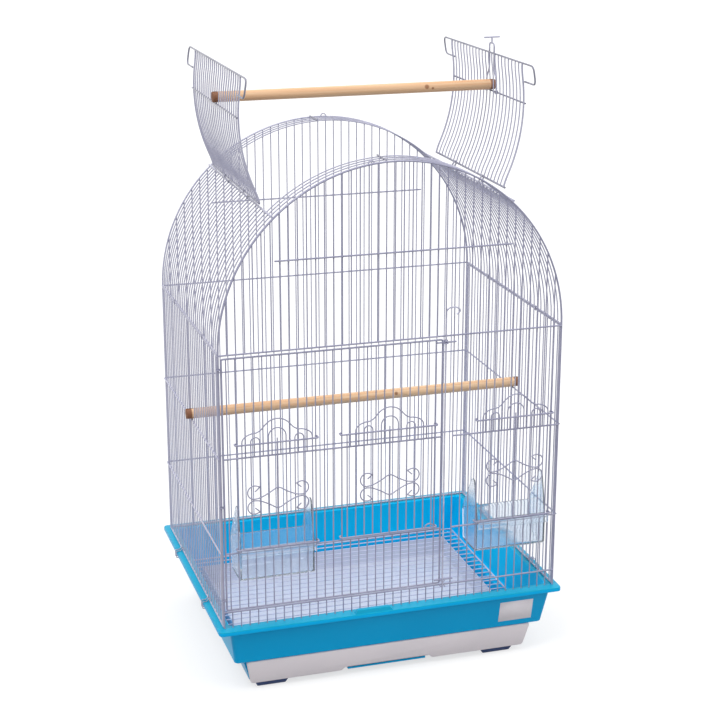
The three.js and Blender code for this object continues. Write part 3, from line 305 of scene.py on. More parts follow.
def makePine(name, halfLength, knots):
    material, tree, shader = newMaterial(name)
    place = addNode(tree, "TexCoord")
    stretch = addNode(tree, "Mapping", {"Scale": pine["grainStretch"]})
    grain = addNode(tree, "TexNoise", {"Scale": 1.0, "Detail": 5, "Distortion": 0.6})
    tone = addNode(tree, "ValToRGB")
    shades = zip(tone.color_ramp.elements, pine["toneRange"], (pine["light"], pine["dark"]))
    for element, position, shade in shades:
        element.position = position
        element.color = shade
    feed(place, "Object", stretch, "Vector")
    feed(stretch, "Vector", grain, "Vector")
    feed(grain, "Fac", tone, "Fac")
    colour = (tone, "Color")
    for knotPlace, knotSize in knots:
        away = addNode(tree, "VectorMath", {1: [v * mm for v in knotPlace]}, operation="DISTANCE")
        ring = addNode(tree, "MapRange", {
            "From Min": knotSize * mm, "From Max": knotSize * pine["knotFade"] * mm,
            "To Min": pine["knotDepth"], "To Max": 0.0,
        }, interpolation_type="SMOOTHSTEP")
        mark = addNode(tree, "Mix", {"B": pine["knot"]}, data_type="RGBA")
        feed(place, "Object", away, 0)
        feed(away, "Value", ring, "Value")
        feed(ring, "Result", mark, "Factor")
        feed(*colour, mark, "A")
        colour = (mark, "Result")
    # darker towards each end of the perch
    axes = addNode(tree, "SeparateXYZ")
    along = addNode(tree, "Math", operation="ABSOLUTE")
    start, full = [(halfLength - reach) * mm for reach in pine["endReach"]]
    tips = addNode(tree, "MapRange", {"From Min": start, "From Max": full})
    capped = addNode(tree, "Mix", {"B": pine["darkEnds"]}, data_type="RGBA")
    feed(place, "Object", axes, "Vector")
    feed(axes, "X", along, 0)
    feed(along, "Value", tips, "Value")
    feed(tips, "Result", capped, "Factor")
    feed(*colour, capped, "A")
    feed(capped, "Result", shader, "Base Color")
    rough = addNode(tree, "MapRange", {"To Min": pine["rough"][0], "To Max": pine["rough"][1]})
    relief = addNode(tree, "Bump", {"Strength": 0.25, "Distance": 0.0004})
    feed(grain, "Fac", rough, "Value")
    feed(rough, "Result", shader, "Roughness")
    feed(grain, "Fac", relief, "Height")
    feed(relief, "Normal", shader, "Normal")
    return material


print("finishes are mixed")


# Wires: each is a thickness, a list of points, and whether it closes on itself

def upright(x, y, low, high, size=fill):
    return size, [(x, y, low), (x, y, high)], False


def levelX(left, right, y, z, size=bar):
    return size, [(left, y, z), (right, y, z)], False


def levelY(front, back, x, z, size=bar):
    return size, [(x, front, z), (x, back, z)], False


def arc(centreX, centreZ, radius, start, end, steps):
    points = []
    for i in range(steps + 1):
        angle = math.radians(start + (end - start) * i / steps)
        points.append((centreX + radius * math.cos(angle), centreZ + radius * math.sin(angle)))
    return points


def atDepth(points, y):
    return [(x, y, z) for x, z in points]


def bent(points, y, size=fill):
    return size, atDepth(points, y), False


def softened(points, bend, closed=False, steps=5):
    # rounds the corners of a bent wire or an outline
    points = [Vector(p) for p in points]
    count = len(points)
    rounded = []
    for i, corner in enumerate(points):
        if not closed and i in (0, count - 1):
            rounded.append(tuple(corner))
            continue
        before, after = points[i - 1], points[(i + 1) % count]
        toBefore, toAfter = before - corner, after - corner
        # just under half of each side, so that two bends never meet
        reach = min(bend, toBefore.length * 0.48, toAfter.length * 0.48)
        start = corner + toBefore.normalized() * reach
        end = corner + toAfter.normalized() * reach
        for k in range(steps + 1):
            t = k / steps
            rounded.append(tuple(start * (1 - t) ** 2 + corner * 2 * t * (1 - t) + end * t ** 2))
    return rounded


def flowing(points, steps=5):
    # a smooth line through every point
    points = [Vector(p) for p in points]
    line = []
    for i in range(len(points) - 1):
        before = points[max(i - 1, 0)]
        here, there = points[i], points[i + 1]
        after = points[min(i + 2, len(points) - 1)]
        for k in range(steps):
            t = k / steps
            line.append(tuple(0.5 * (
                2 * here + (there - before) * t
                + (2 * before - 5 * here + 4 * there - after) * t ** 2
                + (3 * here - before - 3 * there + after) * t ** 3
            )))
    line.append(tuple(points[-1]))
    return line


def wirePiece(name, wires):
    curve = bpy.data.curves.new(name, "CURVE")
    curve.dimensions = "3D"
    curve.bevel_depth = mm
    curve.bevel_resolution = cage["roundness"]
    curve.use_fill_caps = True
    for size, points, closed in wires:
        spline = curve.splines.new("POLY")
        spline.points.add(len(points) - 1)
        for spot, point in zip(spline.points, points):
            spot.co = (point[0] * mm, point[1] * mm, point[2] * mm, 1)
            spot.radius = size / 2
        spline.use_cyclic_u = closed
    piece = bpy.data.objects.new(name, curve)
    scene.collection.objects.link(piece)
    return piece


def settle(piece, material, body, slotName, *nodes):
    piece.data.materials.clear()
    piece.data.materials.append(material)
    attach(piece, body)
    if nodes:
        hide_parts(*nodes)
    return piece


def wireWork(name, wires, body, node, material=wireCoat, slotName="wire_coat"):
    return settle(wirePiece(name, wires), material, body, slotName, node)


def wallWire(i):
    return -cage["halfWidth"] + cage["frontPitch"] * i


def outside(plane, side):
    # where a level bar lies when it is welded onto the uprights of a wall
    return plane + side * (fill / 2 + bar / 2 - cage["weld"])


def archHeight(x, radius=cage["archRadius"] - cage["seat"]):
    return cage["springLine"] + math.sqrt(max(radius * radius - x * x, 0))


def archFrame(y):
    ring = arc(0, cage["springLine"], postX, 180, 0, 64)
    outline = [(-postX, cage["wallFoot"])] + ring + [(postX, cage["wallFoot"])]
    return bent(outline, y, post)


def archBar(y, side):
    reach = cage["archBarHalf"]
    return levelX(-reach, reach, outside(y, side), cage["archBar"])


# Back wall

def makeBackWall():
    wires = [archFrame(backY), levelX(-postX, postX, backY, railZ, post)]
    for x in map(wallWire, range(1, cage["frontSpaces"])):
        wires.append(upright(x, backY, cage["wallFoot"] + 1, archHeight(x)))
    reach = postX + bar / 2
    for z in (*feederLevels, cage["springLine"]):
        wires.append(levelX(-reach, reach, outside(backY, 1), z))
    wires.append(archBar(backY, 1))
    wireWork("backWall", wires, "body", "back_panel")


makeBackWall()


# Side walls

sideWall = {"topBar": 508.55, "postY": 183.97, "barEnd": 188.4, "levelEnd": 189.6}


def makeSideWall(name, node, side):
    x = side * cage["halfWidth"]
    end, reach = sideWall["barEnd"], sideWall["levelEnd"]
    wires = [levelY(-end, end, x, z, post) for z in (railZ, sideWall["topBar"])]
    for y in (-sideWall["postY"], sideWall["postY"]):
        wires.append(upright(x, y, railZ, sideWall["topBar"], post))
    for i in range(1, cage["sideSpaces"]):
        y = frontY + cage["sidePitch"] * i
        wires.append(upright(x, y, railZ, sideWall["topBar"]))
    for z in feederLevels:
        wires.append(levelY(-reach, reach, outside(x, side), z))
    wireWork(name, wires, "body", node)


makeSideWall("sideWallLeft", "side_panel_left", -1)
makeSideWall("sideWallRight", "side_panel_right", 1)
print("back and side walls are wired")


# Front wall: the arch, the strip right of the big door, and the sill under it

frontWall = {
    "firstFixed": 27,
    "opening": (30, 39),
    "latchX": 73.25,
    "latchY": -196.0,
    "keeperHole": 2.3,
    "keeperSize": 1.8,
    "keeperOverlap": 0.6,
}
# level bars beside the feeder doors, with their middle on the face of the uprights
frontBarY = frontY - fill / 2


def makeFrontWall():
    w = frontWall
    wires = [archFrame(frontY)]
    barY = outside(frontY, -1) + fill / 2
    for z in (cage["springLine"], cage["sillLevel"]):
        wires.append(levelX(-postX, postX, barY, z))
    for i in range(1, cage["frontSpaces"]):
        x = wallWire(i)
        spans = [(cage["wallFoot"], cage["sillLevel"]), (cage["springLine"], archHeight(x))]
        if i >= w["firstFixed"]:
            spans.append((cage["sillLevel"], cage["feederSill"]))
            spans.append((cage["feederHead"], cage["springLine"]))
            if not w["opening"][0] < i < w["opening"][1]:
                spans.append(feederLevels)
        wires += [upright(x, frontY, low, high) for low, high in spans]
    first = wallWire(w["firstFixed"]) - fill / 2
    for z in feederLevels:
        wires.append(levelX(first, postX, frontBarY, z))
    wires.append(archBar(frontY, -1))
    hole = w["keeperHole"] + w["keeperSize"] / 2
    x, y, z = w["latchX"], w["latchY"], cage["sillLevel"]
    over = w["keeperOverlap"]
    for side in (-1, 1):
        prong = [(x + side * hole, frontY - over, z), (x + side * hole, y - hole + over, z)]
        wires.append((w["keeperSize"], prong, False))
    wires.append(levelX(x - hole, x + hole, y + hole, z, w["keeperSize"]))
    # painted shade: the front wall's wires take the darker copy of the wire coat
    wireWork("frontWall", wires, "body", "front_panel", frontShadeCoat)


makeFrontWall()


# Roof: shoulders with the hinge rods, and the strips that cross in front and behind

roof = {
    "hingeAngle": 47.0,
    "hingeX": 172.204,
    "hingeZ": 694.666,
    "hingeRadius": 252.5,
    "footBar": 511.45,
    "wires": 23,
    "shoulderEnd": 47.3,
    "stripInner": 152.0,
    "stripOuter": 187.5,
    "stripWires": 4,
    "stripLift": 1.9,
    "crossX": -13.0,
    "crossStart": 148.0,
    "crossOverrun": 0.4,
    "loopSetOut": 21.0,
    "loopHalf": 4.0,
    "loopLift": 0.6,
    "loopTurn": (170, 10, 8),  # start, end and steps of an arc, here and below
}


def wireRow(count, half):
    return [-half + 2 * half * i / (count - 1) for i in range(count)]


flapHalf = cage["sidePitch"] * (roof["wires"] - 1) / 2


def archStart(lift):
    # angle at which the arch passes this far above the foot bar
    rise = roof["footBar"] + lift - cage["springLine"]
    return math.degrees(math.asin(rise / cage["archRadius"]))


def makeShoulder(name, node, side):
    end = sideWall["barEnd"]
    wires = [
        levelY(-end, end, side * cage["halfWidth"], roof["footBar"], post),
        levelY(-end, end, side * roof["hingeX"], roof["hingeZ"], rod),
    ]
    radius = cage["archRadius"] + cage["seat"]
    bow = arc(0, cage["springLine"], radius, archStart(0), roof["shoulderEnd"], 14)
    curve = [(side * x, z) for x, z in bow]
    for y in wireRow(roof["wires"], flapHalf):
        wires.append(bent(curve, y))
    wireWork(name, wires, "body", node)


makeShoulder("shoulderLeft", "roof_side_left", -1)
makeShoulder("shoulderRight", "roof_side_right", 1)


def makeStrip(name, node, side):
    start = archStart(roof["stripLift"])
    curve = arc(0, cage["springLine"], cage["archRadius"], start, 180 - start, 56)
    wires = []
    for i in range(roof["stripWires"]):
        share = i / (roof["stripWires"] - 1)
        y = side * (roof["stripInner"] + (roof["stripOuter"] - roof["stripInner"]) * share)
        wires.append(bent(curve, y))
    reach = (roof["crossStart"], roof["stripOuter"] + roof["crossOverrun"])
    front, back = sorted(side * y for y in reach)
    z = outside(archHeight(roof["crossX"], cage["archRadius"]), 1)
    cross = levelY(front, back, roof["crossX"], z)
    # painted shade: the crosswire takes the darker copy of the wire coat
    settle(wirePiece(name + "Cross", [cross]), rodShadeCoat, "body", "rod_coat")
    x, half = roof["crossX"] + side * roof["loopSetOut"], roof["loopHalf"]
    z = archHeight(x, cage["archRadius"])
    loop = [(x - half, z)] + arc(x, z + roof["loopLift"], half, *roof["loopTurn"]) + [(x + half, z)]
    wires.append(bent(loop, side * roof["stripOuter"]))
    wireWork(name, wires, "body", node)


makeStrip("stripFront", "roof_strip_front", -1)
makeStrip("stripBack", "roof_strip_back", 1)
print("front wall and roof are wired")


# Flaps: the middle of the roof in two curved halves, swung open

flap = {
    "opening": math.radians(77),
    "start": 49.27,
    "end": 89.52,
    "radius": 249.4,
    "edgeRise": 2.1,  # the wires climb onto the end rods over the last few degrees
    "edgeSpan": 4.0,
    "steps": 28,
    "crossShare": 0.7,
    "crossRadius": 251.43,
    "earReach": 38.0,
    "earLength": 26.0,
    "earBend": 9.0,
    "earSunk": 0.4,
    "clipY": 57.0,
    "clipHalf": 2.5,
    "clipSheet": 0.7,
    "clipPlay": 0.9,
}


def swung(radius, angle, side):
    # a place on the closed arch, given by radius and angle, as it lies on the open flap
    x = radius * math.cos(math.radians(angle)) - roof["hingeX"]
    z = cage["springLine"] + radius * math.sin(math.radians(angle)) - roof["hingeZ"]
    turn = flap["opening"]
    openX = roof["hingeX"] + x * math.cos(turn) + z * math.sin(turn)
    openZ = roof["hingeZ"] - x * math.sin(turn) + z * math.cos(turn)
    return side * openX, openZ


def onCrosswire(side):
    angle = roof["hingeAngle"] + (flap["end"] - roof["hingeAngle"]) * flap["crossShare"]
    return swung(flap["crossRadius"], angle, side)


def flapCurve(side):
    points = []
    for i in range(flap["steps"] + 1):
        angle = flap["start"] + (flap["end"] - flap["start"]) * i / flap["steps"]
        fromEdge = min(angle - flap["start"], flap["end"] - angle)
        rise = flap["edgeRise"] * max(0, 1 - fromEdge / flap["edgeSpan"]) ** 2
        points.append(swung(flap["radius"] + rise, angle, side))
    return points


def makeFlap(name, node, side, body):
    curve = flapCurve(side)
    wires = []
    for i, y in enumerate(wireRow(roof["wires"], flapHalf)):
        size = post if i in (0, roof["wires"] - 1) else fill
        wires.append(bent(curve, y, size))
    frameWires = []
    bottom = swung(roof["hingeRadius"], flap["start"], side)
    crosswire = (onCrosswire(side), post / 2, bar)
    for (x, z), over, size in ((bottom, post, rod), crosswire):
        frameWires.append(levelY(-flapHalf - over, flapHalf + over, x, z, size))
    # top bar and both ears are one wire
    earStep = math.degrees(flap["earLength"] / roof["hingeRadius"])
    topX, topZ = swung(roof["hingeRadius"], flap["end"], side)
    lowX, lowZ = swung(roof["hingeRadius"] - flap["earSunk"], flap["end"] - earStep, side)
    out = flapHalf + flap["earReach"]
    loop = [(lowX, -flapHalf, lowZ), (lowX, -out, lowZ), (topX, -out, topZ)]
    loop += [(x, -y, z) for x, y, z in reversed(loop)]
    frameWires.append((post, softened(loop, flap["earBend"]), False))
    wireWork(name, wires, body, node)
    # painted shade: the frame takes the darker copy of the wire coat
    settle(wirePiece(name + "Frame", frameWires), rodShadeCoat, body, "rod_coat")


makeFlap("flapLeft", "flap_left", -1, "left_flap")
makeFlap("flapRight", "flap_right", 1, "right_flap")


# Meshes

def meshPiece(name, mesh, smooth=True):
    data = bpy.data.meshes.new(name)
    mesh.to_mesh(data)
    mesh.free()
    if smooth:
        data.shade_smooth()
    piece = bpy.data.objects.new(name, data)
    scene.collection.objects.link(piece)
    return piece


def shadeByAngle(piece, degrees):
    piece.data.shade_smooth()
    piece.data.set_sharp_from_angle(angle=math.radians(degrees))


def bevelled(mesh, geom, width, segments=3, affect="EDGES"):
    bmesh.ops.bevel(
        mesh, geom=geom, offset=width * mm, affect=affect,
        segments=segments, profile=0.5, material=-1,
    )


def moved(mesh, verts, x, y, z):
    bmesh.ops.translate(mesh, verts=verts, vec=(x * mm, y * mm, z * mm))


def onlyVerts(geometry):
    return [g for g in geometry if isinstance(g, bmesh.types.BMVert)]


def blockMesh(x, y, z):
    mesh = bmesh.new()
    bmesh.ops.create_cube(mesh, size=1)
    bmesh.ops.scale(mesh, verts=mesh.verts, vec=[(b - a) * mm for a, b in (x, y, z)])
    moved(mesh, mesh.verts, *[(a + b) / 2 for a, b in (x, y, z)])
    return mesh


def blockPiece(name, x, y, z, softness=0.0, segments=3):
    mesh = blockMesh(x, y, z)
    if softness:
        bevelled(mesh, mesh.edges[:], softness, segments)
    return meshPiece(name, mesh)


def outlinePiece(name, outline, left, right):
    # outline of y and z pulled along the width
    mesh = bmesh.new()
    mesh.faces.new([mesh.verts.new((left * mm, y * mm, z * mm)) for y, z in outline])
    grown = bmesh.ops.extrude_face_region(mesh, geom=mesh.faces[:])["geom"]
    moved(mesh, onlyVerts(grown), right - left, 0, 0)
    bmesh.ops.recalc_face_normals(mesh, faces=mesh.faces)
    return meshPiece(name, mesh)


bandEdge = {"width": 0.25, "sharp": 50}


def bandPiece(name, first, second, radius, middle, half, sheet):
    # a band of sheet pulled round two rods
    along = math.degrees(math.atan2(second[1] - first[1], second[0] - first[0]))
    outline = arc(*second, radius, along - 90, along + 90, 8)
    outline += arc(*first, radius, along + 90, along + 270, 8)
    mesh = bmesh.new()
    verts = [mesh.verts.new((x * mm, (middle - half) * mm, z * mm)) for x, z in outline]
    edges = [mesh.edges.new((verts[i], verts[i + 1])) for i in range(len(verts) - 1)]
    edges.append(mesh.edges.new((verts[-1], verts[0])))
    pulled = bmesh.ops.extrude_edge_only(mesh, edges=edges)["geom"]
    moved(mesh, onlyVerts(pulled), 0, 2 * half, 0)
    bmesh.ops.recalc_face_normals(mesh, faces=mesh.faces)
    bmesh.ops.solidify(mesh, geom=mesh.faces[:], thickness=sheet * mm)
    bmesh.ops.recalc_face_normals(mesh, faces=mesh.faces)
    piece = meshPiece(name, mesh)
    bevel = piece.modifiers.new("softEdges", "BEVEL")
    bevel.width = bandEdge["width"] * mm
    bevel.segments = 2
    bevel.limit_method = "ANGLE"
    bevel.angle_limit = math.radians(bandEdge["sharp"])
    bevel.harden_normals = True
    return piece


def measured(data):
    mesh = bmesh.new()
    mesh.from_mesh(data)
    volume = mesh.calc_volume()
    mesh.free()
    return volume


def carve(piece, cutters, operation="DIFFERENCE"):
    before = measured(piece.data)
    for cutter in cutters:
        cut = piece.modifiers.new("cut", "BOOLEAN")
        cut.operation = operation
        cut.solver = "EXACT"
        cut.object = cutter
    bpy.context.view_layer.update()
    evaluated = piece.evaluated_get(bpy.context.evaluated_depsgraph_get())
    shaped = bpy.data.meshes.new_from_object(evaluated)
    piece.modifiers.clear()
    piece.data = shaped
    for cutter in cutters:
        bpy.data.objects.remove(cutter)
    if operation == "DIFFERENCE" and measured(shaped) > before:
        raise RuntimeError("a cut failed on " + piece.name)


# Clips that hold the flaps to the hinge rods

def makeFlapClips():
    radius = rod / 2 + flap["clipPlay"]
    for side, word in sides:
        hinge = (side * roof["hingeX"], roof["hingeZ"])
        lower = swung(roof["hingeRadius"], flap["start"], side)
        for end, place in ends:
            clip = bandPiece(
                "flapClip" + word + place, hinge, lower, radius,
                end * flap["clipY"], flap["clipHalf"], flap["clipSheet"],
            )
            node = "flap_clip_{}_{}".format(word.lower(), place.lower())
            settle(clip, hardwareZinc, word.lower() + "_flap", "rod_coat", node)


makeFlapClips()


# Roof catch: a loop that rides on the right flap's crosswire and reaches over both top bars

catchLoop = {
    "y": -cage["sidePitch"],
    "half": cage["sidePitch"] * 1.5,
    "neck": 9.0,
    "waist": (0.25, 0.45),  # shares of the reach between which the loop narrows
    "hole": 1.6,
    "size": 2.4,
    "eyeSize": 1.6,
    "eyeTurn": (0, 345, 23),
    "rise": 12.5,
    "lift": 1.6,
    "bend": 5.0,
    "stem": 7.5,
    "fingerHalf": 12.0,
}


def makeCatch():
    c = catchLoop
    x, z = onCrosswire(1)
    pivot = Vector((x, 0, z))
    tipRadius = roof["hingeRadius"] + rod / 2 + c["size"] / 2 + c["lift"]
    x, z = swung(tipRadius, flap["end"], 1)
    along = Vector((x, 0, z)) - pivot
    reach = along.length + c["rise"]
    along.normalize()
    inward = Vector((-along.z, 0, along.x))
    if inward.x > 0:
        inward.negate()

    def at(distance, offset, shift=0):
        spot = pivot + along * distance + inward * shift
        return spot.x, c["y"] + offset, spot.z

    half, neck = c["half"], c["neck"]
    wide, narrow = [reach * share for share in c["waist"]]
    rise = [(c["hole"] + c["size"] / 2, half), (wide, half), (narrow, neck), (reach - 1, neck)]
    line = [at(u, -w) for u, w in rise] + [at(u, w) for u, w in reversed(rise)]
    wires = [(c["size"], softened(line, c["bend"]), False)]
    for offset in (-half, half):
        ring = arc(pivot.x, pivot.z, c["hole"] + c["eyeSize"] / 2, *c["eyeTurn"])
        wires.append((c["eyeSize"], atDepth(ring, c["y"] + offset), True))
    stem, finger = reach + c["stem"], c["fingerHalf"]
    wires.append((c["size"], [at(reach, 0), at(stem, 0)], False))
    wires.append((c["size"], [at(stem, 0, -finger), at(stem, 0, finger)], False))
    wireWork("roofCatch", wires, "catch", "roof_catch", hardwareZinc, "rod_coat")


makeCatch()
print("flaps, their clips and the catch are bent")


# Perches

perch = {
    "radius": 7.5,
    "edge": 1.0,
    "facets": 40,
    "sharp": 40,
    "y": -cage["sidePitch"],
    "kerf": 2.6,
    "kerfDepth": 15.0,
    "kerfCut": (12.0, 2.0),  # how far a cut reaches to each side and past the end
    # name, node, half length, height, body, places and sizes of the knots
    "upper": (
        "perchUpper", "perch_upper", 209.5, 828.89, "top_perch",
        [((103, -19.8, 830.5), 2.0), ((112, -20, 828), 1.1)],
    ),
    "lower": (
        "perchLower", "perch_lower", 260.0, 370.14, "inner_perch", [((60, -19.5, 372), 1.6)],
    ),
}


def makePerch(name, node, half, z, body, knots):
    radius = perch["radius"] * mm
    mesh = bmesh.new()
    bmesh.ops.create_cone(
        mesh, cap_ends=True, segments=perch["facets"],
        radius1=radius, radius2=radius, depth=2 * half * mm,
    )
    rims = [e for e in mesh.edges if abs(e.verts[0].co.z - e.verts[1].co.z) < 1e-6]
    bevelled(mesh, rims, perch["edge"])
    bmesh.ops.rotate(mesh, verts=mesh.verts, matrix=Matrix.Rotation(math.pi / 2, 3, "Y"))
    moved(mesh, mesh.verts, 0, perch["y"], z)
    piece = meshPiece(name, mesh)
    cutters = []
    width = (perch["y"] - perch["kerf"] / 2, perch["y"] + perch["kerf"] / 2)
    rise, past = perch["kerfCut"]
    for side in (-1, 1):
        reach = sorted((side * (half - perch["kerfDepth"]), side * (half + past)))
        cutters.append(blockPiece("kerf", reach, width, (z - rise, z + rise)))
    carve(piece, cutters)
    shadeByAngle(piece, perch["sharp"])
    settle(piece, makePine(name + "Pine", half, knots), body, "perch_pine", node)


makePerch(*perch["upper"])
makePerch(*perch["lower"])
print("perches are turned")


# Big front door with its hinge eyes, stop bars and latch rings

door = {
    "left": -245.56,
    "right": 70.55,
    "bottom": 135.3,
    "top": 504.5,
    "bend": 3.0,
    "firstWire": -239.31,
    "wires": 25,
    "openings": ((1, 10), (13, 24)),
    "eyeLevels": (151.3, 291.15, 490.5),
    "eyeRadius": 3.04,
    "eyeSize": 1.6,
    "stopLevels": (140.8, 501.0),
    "stopEnds": (61.9, 89.9),
    "stopSetOut": 2.3,
    "latchEyeRadius": 3.1,
}


def doorWire(i):
    return door["firstWire"] + cage["frontPitch"] * i


def levelRing(x, y, z, radius, size):
    points = []
    count = cage["ringSteps"]
    for angle in [2 * math.pi * k / count for k in range(count)]:
        points.append((x + radius * math.cos(angle), y + radius * math.sin(angle), z))
    return size, points, True


def makeFrontDoor():
    d = door
    left, right, bottom, top = d["left"], d["right"], d["bottom"], d["top"]
    corners = atDepth([(left, bottom), (right, bottom), (right, top), (left, top)], frontY)
    wires = [(post, softened(corners, d["bend"], closed=True), True)]
    for z in feederLevels:
        wires.append(levelX(left, right, frontBarY, z))
    for i in range(d["wires"]):
        spans = [(bottom, cage["feederSill"]), (cage["feederHead"], top)]
        if not any(low < i < high for low, high in d["openings"]):
            spans.append(feederLevels)
        wires += [upright(doorWire(i), frontY, low, high) for low, high in spans]
    for z in d["eyeLevels"]:
        wires.append(levelRing(-postX, frontY, z, d["eyeRadius"], d["eyeSize"]))
    x, y = frontWall["latchX"], frontWall["latchY"]
    for z in d["stopLevels"]:
        wires.append(levelX(*d["stopEnds"], frontY - d["stopSetOut"], z))
        wires.append(levelRing(x, y, z, d["latchEyeRadius"], d["eyeSize"]))
    # painted shade: the door's wires take the darker copy of the wire coat
    wireWork("frontDoor", wires, "door", "front_door", frontShadeCoat)


makeFrontDoor()

latch = {
    "low": 124.1,
    "high": 547.0,
    "hook": [(0, 0), (5, 4.5), (16, 4), (20, -1), (15, -5.5)],
    "collars": (504.9, 503.7),
    "collarRadius": 1.9,
    "collarSize": 1.8,
}


def makeLatch():
    x, y = frontWall["latchX"], frontWall["latchY"]
    hook = flowing([(x + u, y, latch["high"] + v) for u, v in latch["hook"]])
    wires = [(bar, [(x, y, latch["low"])] + hook, False)]
    for z in latch["collars"]:
        wires.append(levelRing(x, y, z, latch["collarRadius"], latch["collarSize"]))
    wireWork("latchRod", wires, "rod", "latch_rod", hardwareZinc, "rod_coat")


makeLatch()
print("front door hangs on its eyes")


# Sliding doors with their scrollwork

slider = {
    "y": -195.2,
    "bottom": 225.96,
    "top": 380.96,
    "reach": 2.7,
    "hookY": -187.5,
    "hookSetIn": 0.6,
    "hookBend": 2.6,
    "scrollLevel": 299.96,
    "half": 50.0,
    "wave": [
        (1, 0), (0.98, 7.5), (0.87, 12.8), (0.72, 15.6), (0.59, 16.3),
        (0.46, 20), (0.35, 26), (0.2, 32), (0, 34.4),
    ],
    "curlStart": (-33, 12),
    "curlCentre": (-33.7, 11.0),
    "curlRadius": 9.8,
    "curlTurn": (45, 270, 14),
    "curlTail": [(-25, 2.6), (-12.5, 8.5), (0, 15)],
    "bows": [(-1, 1, 21.0), (-3, -2, 9.7), (2, 3, 9.7)],  # from wire, to wire, height
    "stub": 6.5,
    "humpHalf": 6.5,
    "humpTurn": (170, 10, 10),
}


def makeSlider(name, node, body, leftEdge, spaces, humpX=None):
    s = slider
    y, low, top = s["y"], s["bottom"], s["top"]
    pitch = cage["frontPitch"]
    rightEdge = leftEdge + pitch * spaces
    centre = (leftEdge + rightEdge) / 2
    wires = []
    for x in [leftEdge + pitch * (k + 0.5) for k in range(spaces)]:
        size = post if abs(x - centre) < 1 else fill
        wires.append(upright(x, y, low, top, size))
    left, right = leftEdge - s["reach"], rightEdge + s["reach"]
    hooks = (leftEdge + s["hookSetIn"], rightEdge - s["hookSetIn"])
    for z in (low, top):
        rail = [
            (hooks[0], s["hookY"], z), (left, s["hookY"], z), (left, y, z),
            (right, y, z), (right, s["hookY"], z), (hooks[1], s["hookY"], z),
        ]
        wires.append((bar, softened(rail, s["hookBend"]), False))
    if humpX:
        hump = arc(humpX, low, s["humpHalf"], *s["humpTurn"])
        wires.append(bent(hump, y))
    outline = [(centre - u * s["half"], top + v) for u, v in s["wave"]]
    outline += [(2 * centre - x, z) for x, z in reversed(outline[:-1])]
    wires.append((fill, flowing(atDepth(outline, y)), False))
    for first, last, rise in s["bows"]:
        radius = (last - first) * pitch / 2
        middle = centre + (first + last) * pitch / 2
        line = arc(middle, top + rise - radius, radius, 180, 0, 16)
        line = [(middle - radius, top)] + line + [(middle + radius, top)]
        wires.append(bent(line, y))
    wires.append(upright(centre, y, top, top + s["stub"]))
    scrollY = y - fill + cage["weld"]
    curl = arc(*s["curlCentre"], s["curlRadius"], *s["curlTurn"])
    half = [s["curlStart"]] + curl + s["curlTail"]
    line = half + [(-u, v) for u, v in reversed(half[:-1])]
    for up in (1, -1):
        scroll = [(centre + u, scrollY, s["scrollLevel"] + up * v) for u, v in line]
        wires.append((fill, flowing(scroll, 4), False))
    # painted shade: the sliding door's wires take the darker copy of the wire coat
    wireWork(name, wires, body, node, frontShadeCoat)


makeSlider("feederDoorLeft", "feeder_door_left", "left_slider", doorWire(1), 9)
makeSlider("middleDoor", "middle_door", "middle_slider", doorWire(13), 11, 52.0)
makeSlider("feederDoorRight", "feeder_door_right", "right_slider", wallWire(30), 9)
print("sliding doors are fitted")


# Base tub: ring after ring of a rounded rectangle, from the underside out, up, over the rim
# and down inside

tub = {
    # half width, half depth, corner radius, height
    "rings": [
        (208.8, 168.8, 5, 9.0), (210, 170, 6, 10.2), (220.2, 177.2, 6, 46.9), (221, 178, 6, 48.1),
        (233.4, 185.4, 5, 48.1), (235.2, 187.3, 5.5, 49.6), (243.3, 199.0, 6, 103.0),
        (244.0, 199.8, 6, 104.6), (245.6, 200.6, 6, 105.2), (257.4, 201.4, 5, 105.2),
        (258.0, 202.0, 5, 104.6), (258.0, 202.0, 5, 101.9), (258.3, 202.3, 5.2, 101.6),
        (259.2, 203.2, 5.8, 101.6), (259.6, 203.6, 6, 102.0), (259.6, 203.6, 6, 106.6),
        (259.2, 203.2, 6, 107.6), (258.2, 202.2, 6, 108.0), (242.4, 184.4, 7, 108.0),
        (241, 183, 7, 106.6), (232.8, 183.9, 7, 54.0), (231, 183, 6.5, 51.1),
        (216, 176, 4, 51.1), (215, 175, 3.5, 49.8), (207.8, 167.8, 3, 14.0), (206, 166, 3, 12.0),
    ],
    "cornerSteps": 8,
    "slotCut": ((-241, 241), (-215, -170.2), (-4, 48.3)),
    "trayCut": ((-207.1, 207.1), (-171.5, -163.3), (12.2, 47.8)),
    # faces within this half width and half depth and above this height take the painted bounce
    # light
    "inside": (243.0, 186.0, 50.0),
    # faces above this height take the rim's painted highlights
    "rimSheenFrom": 104.8,
    "sharp": 38,
    # the basin's front leans from the low place to the high one
    "label": {
        "width": (165.0, 217.3), "height": (58.2, 92.2), "sheet": (-0.15, 0.15), "edge": 0.1,
        "lowY": -187.4, "lowZ": 49.6, "highY": -199.1, "highZ": 103.0,
    },
    "sill": ((-64.0, 56.0), (-176.0, -168.0), (9.2, 11.7), 0.5),
    "tab": {
        "width": (-62.0, -2.0), "y": -198.2, "halfDepth": 4.0, "foot": 2.0, "rise": 6.0,
        "slope": 6.0, "lean": 1.2, "edge": 1.4, "shortEdge": 9.0,
    },
}


def ringMove(verts, old, new):
    # takes one rounded rectangle to another, corner by corner
    for vert in verts:
        sideX = 1 if vert.co.x > 0 else -1
        sideY = 1 if vert.co.y > 0 else -1
        outX = (vert.co.x / mm - sideX * (old[0] - old[2])) / old[2]
        outY = (vert.co.y / mm - sideY * (old[1] - old[2])) / old[2]
        vert.co.x = (sideX * (new[0] - new[2]) + outX * new[2]) * mm
        vert.co.y = (sideY * (new[1] - new[2]) + outY * new[2]) * mm
        vert.co.z = new[3] * mm


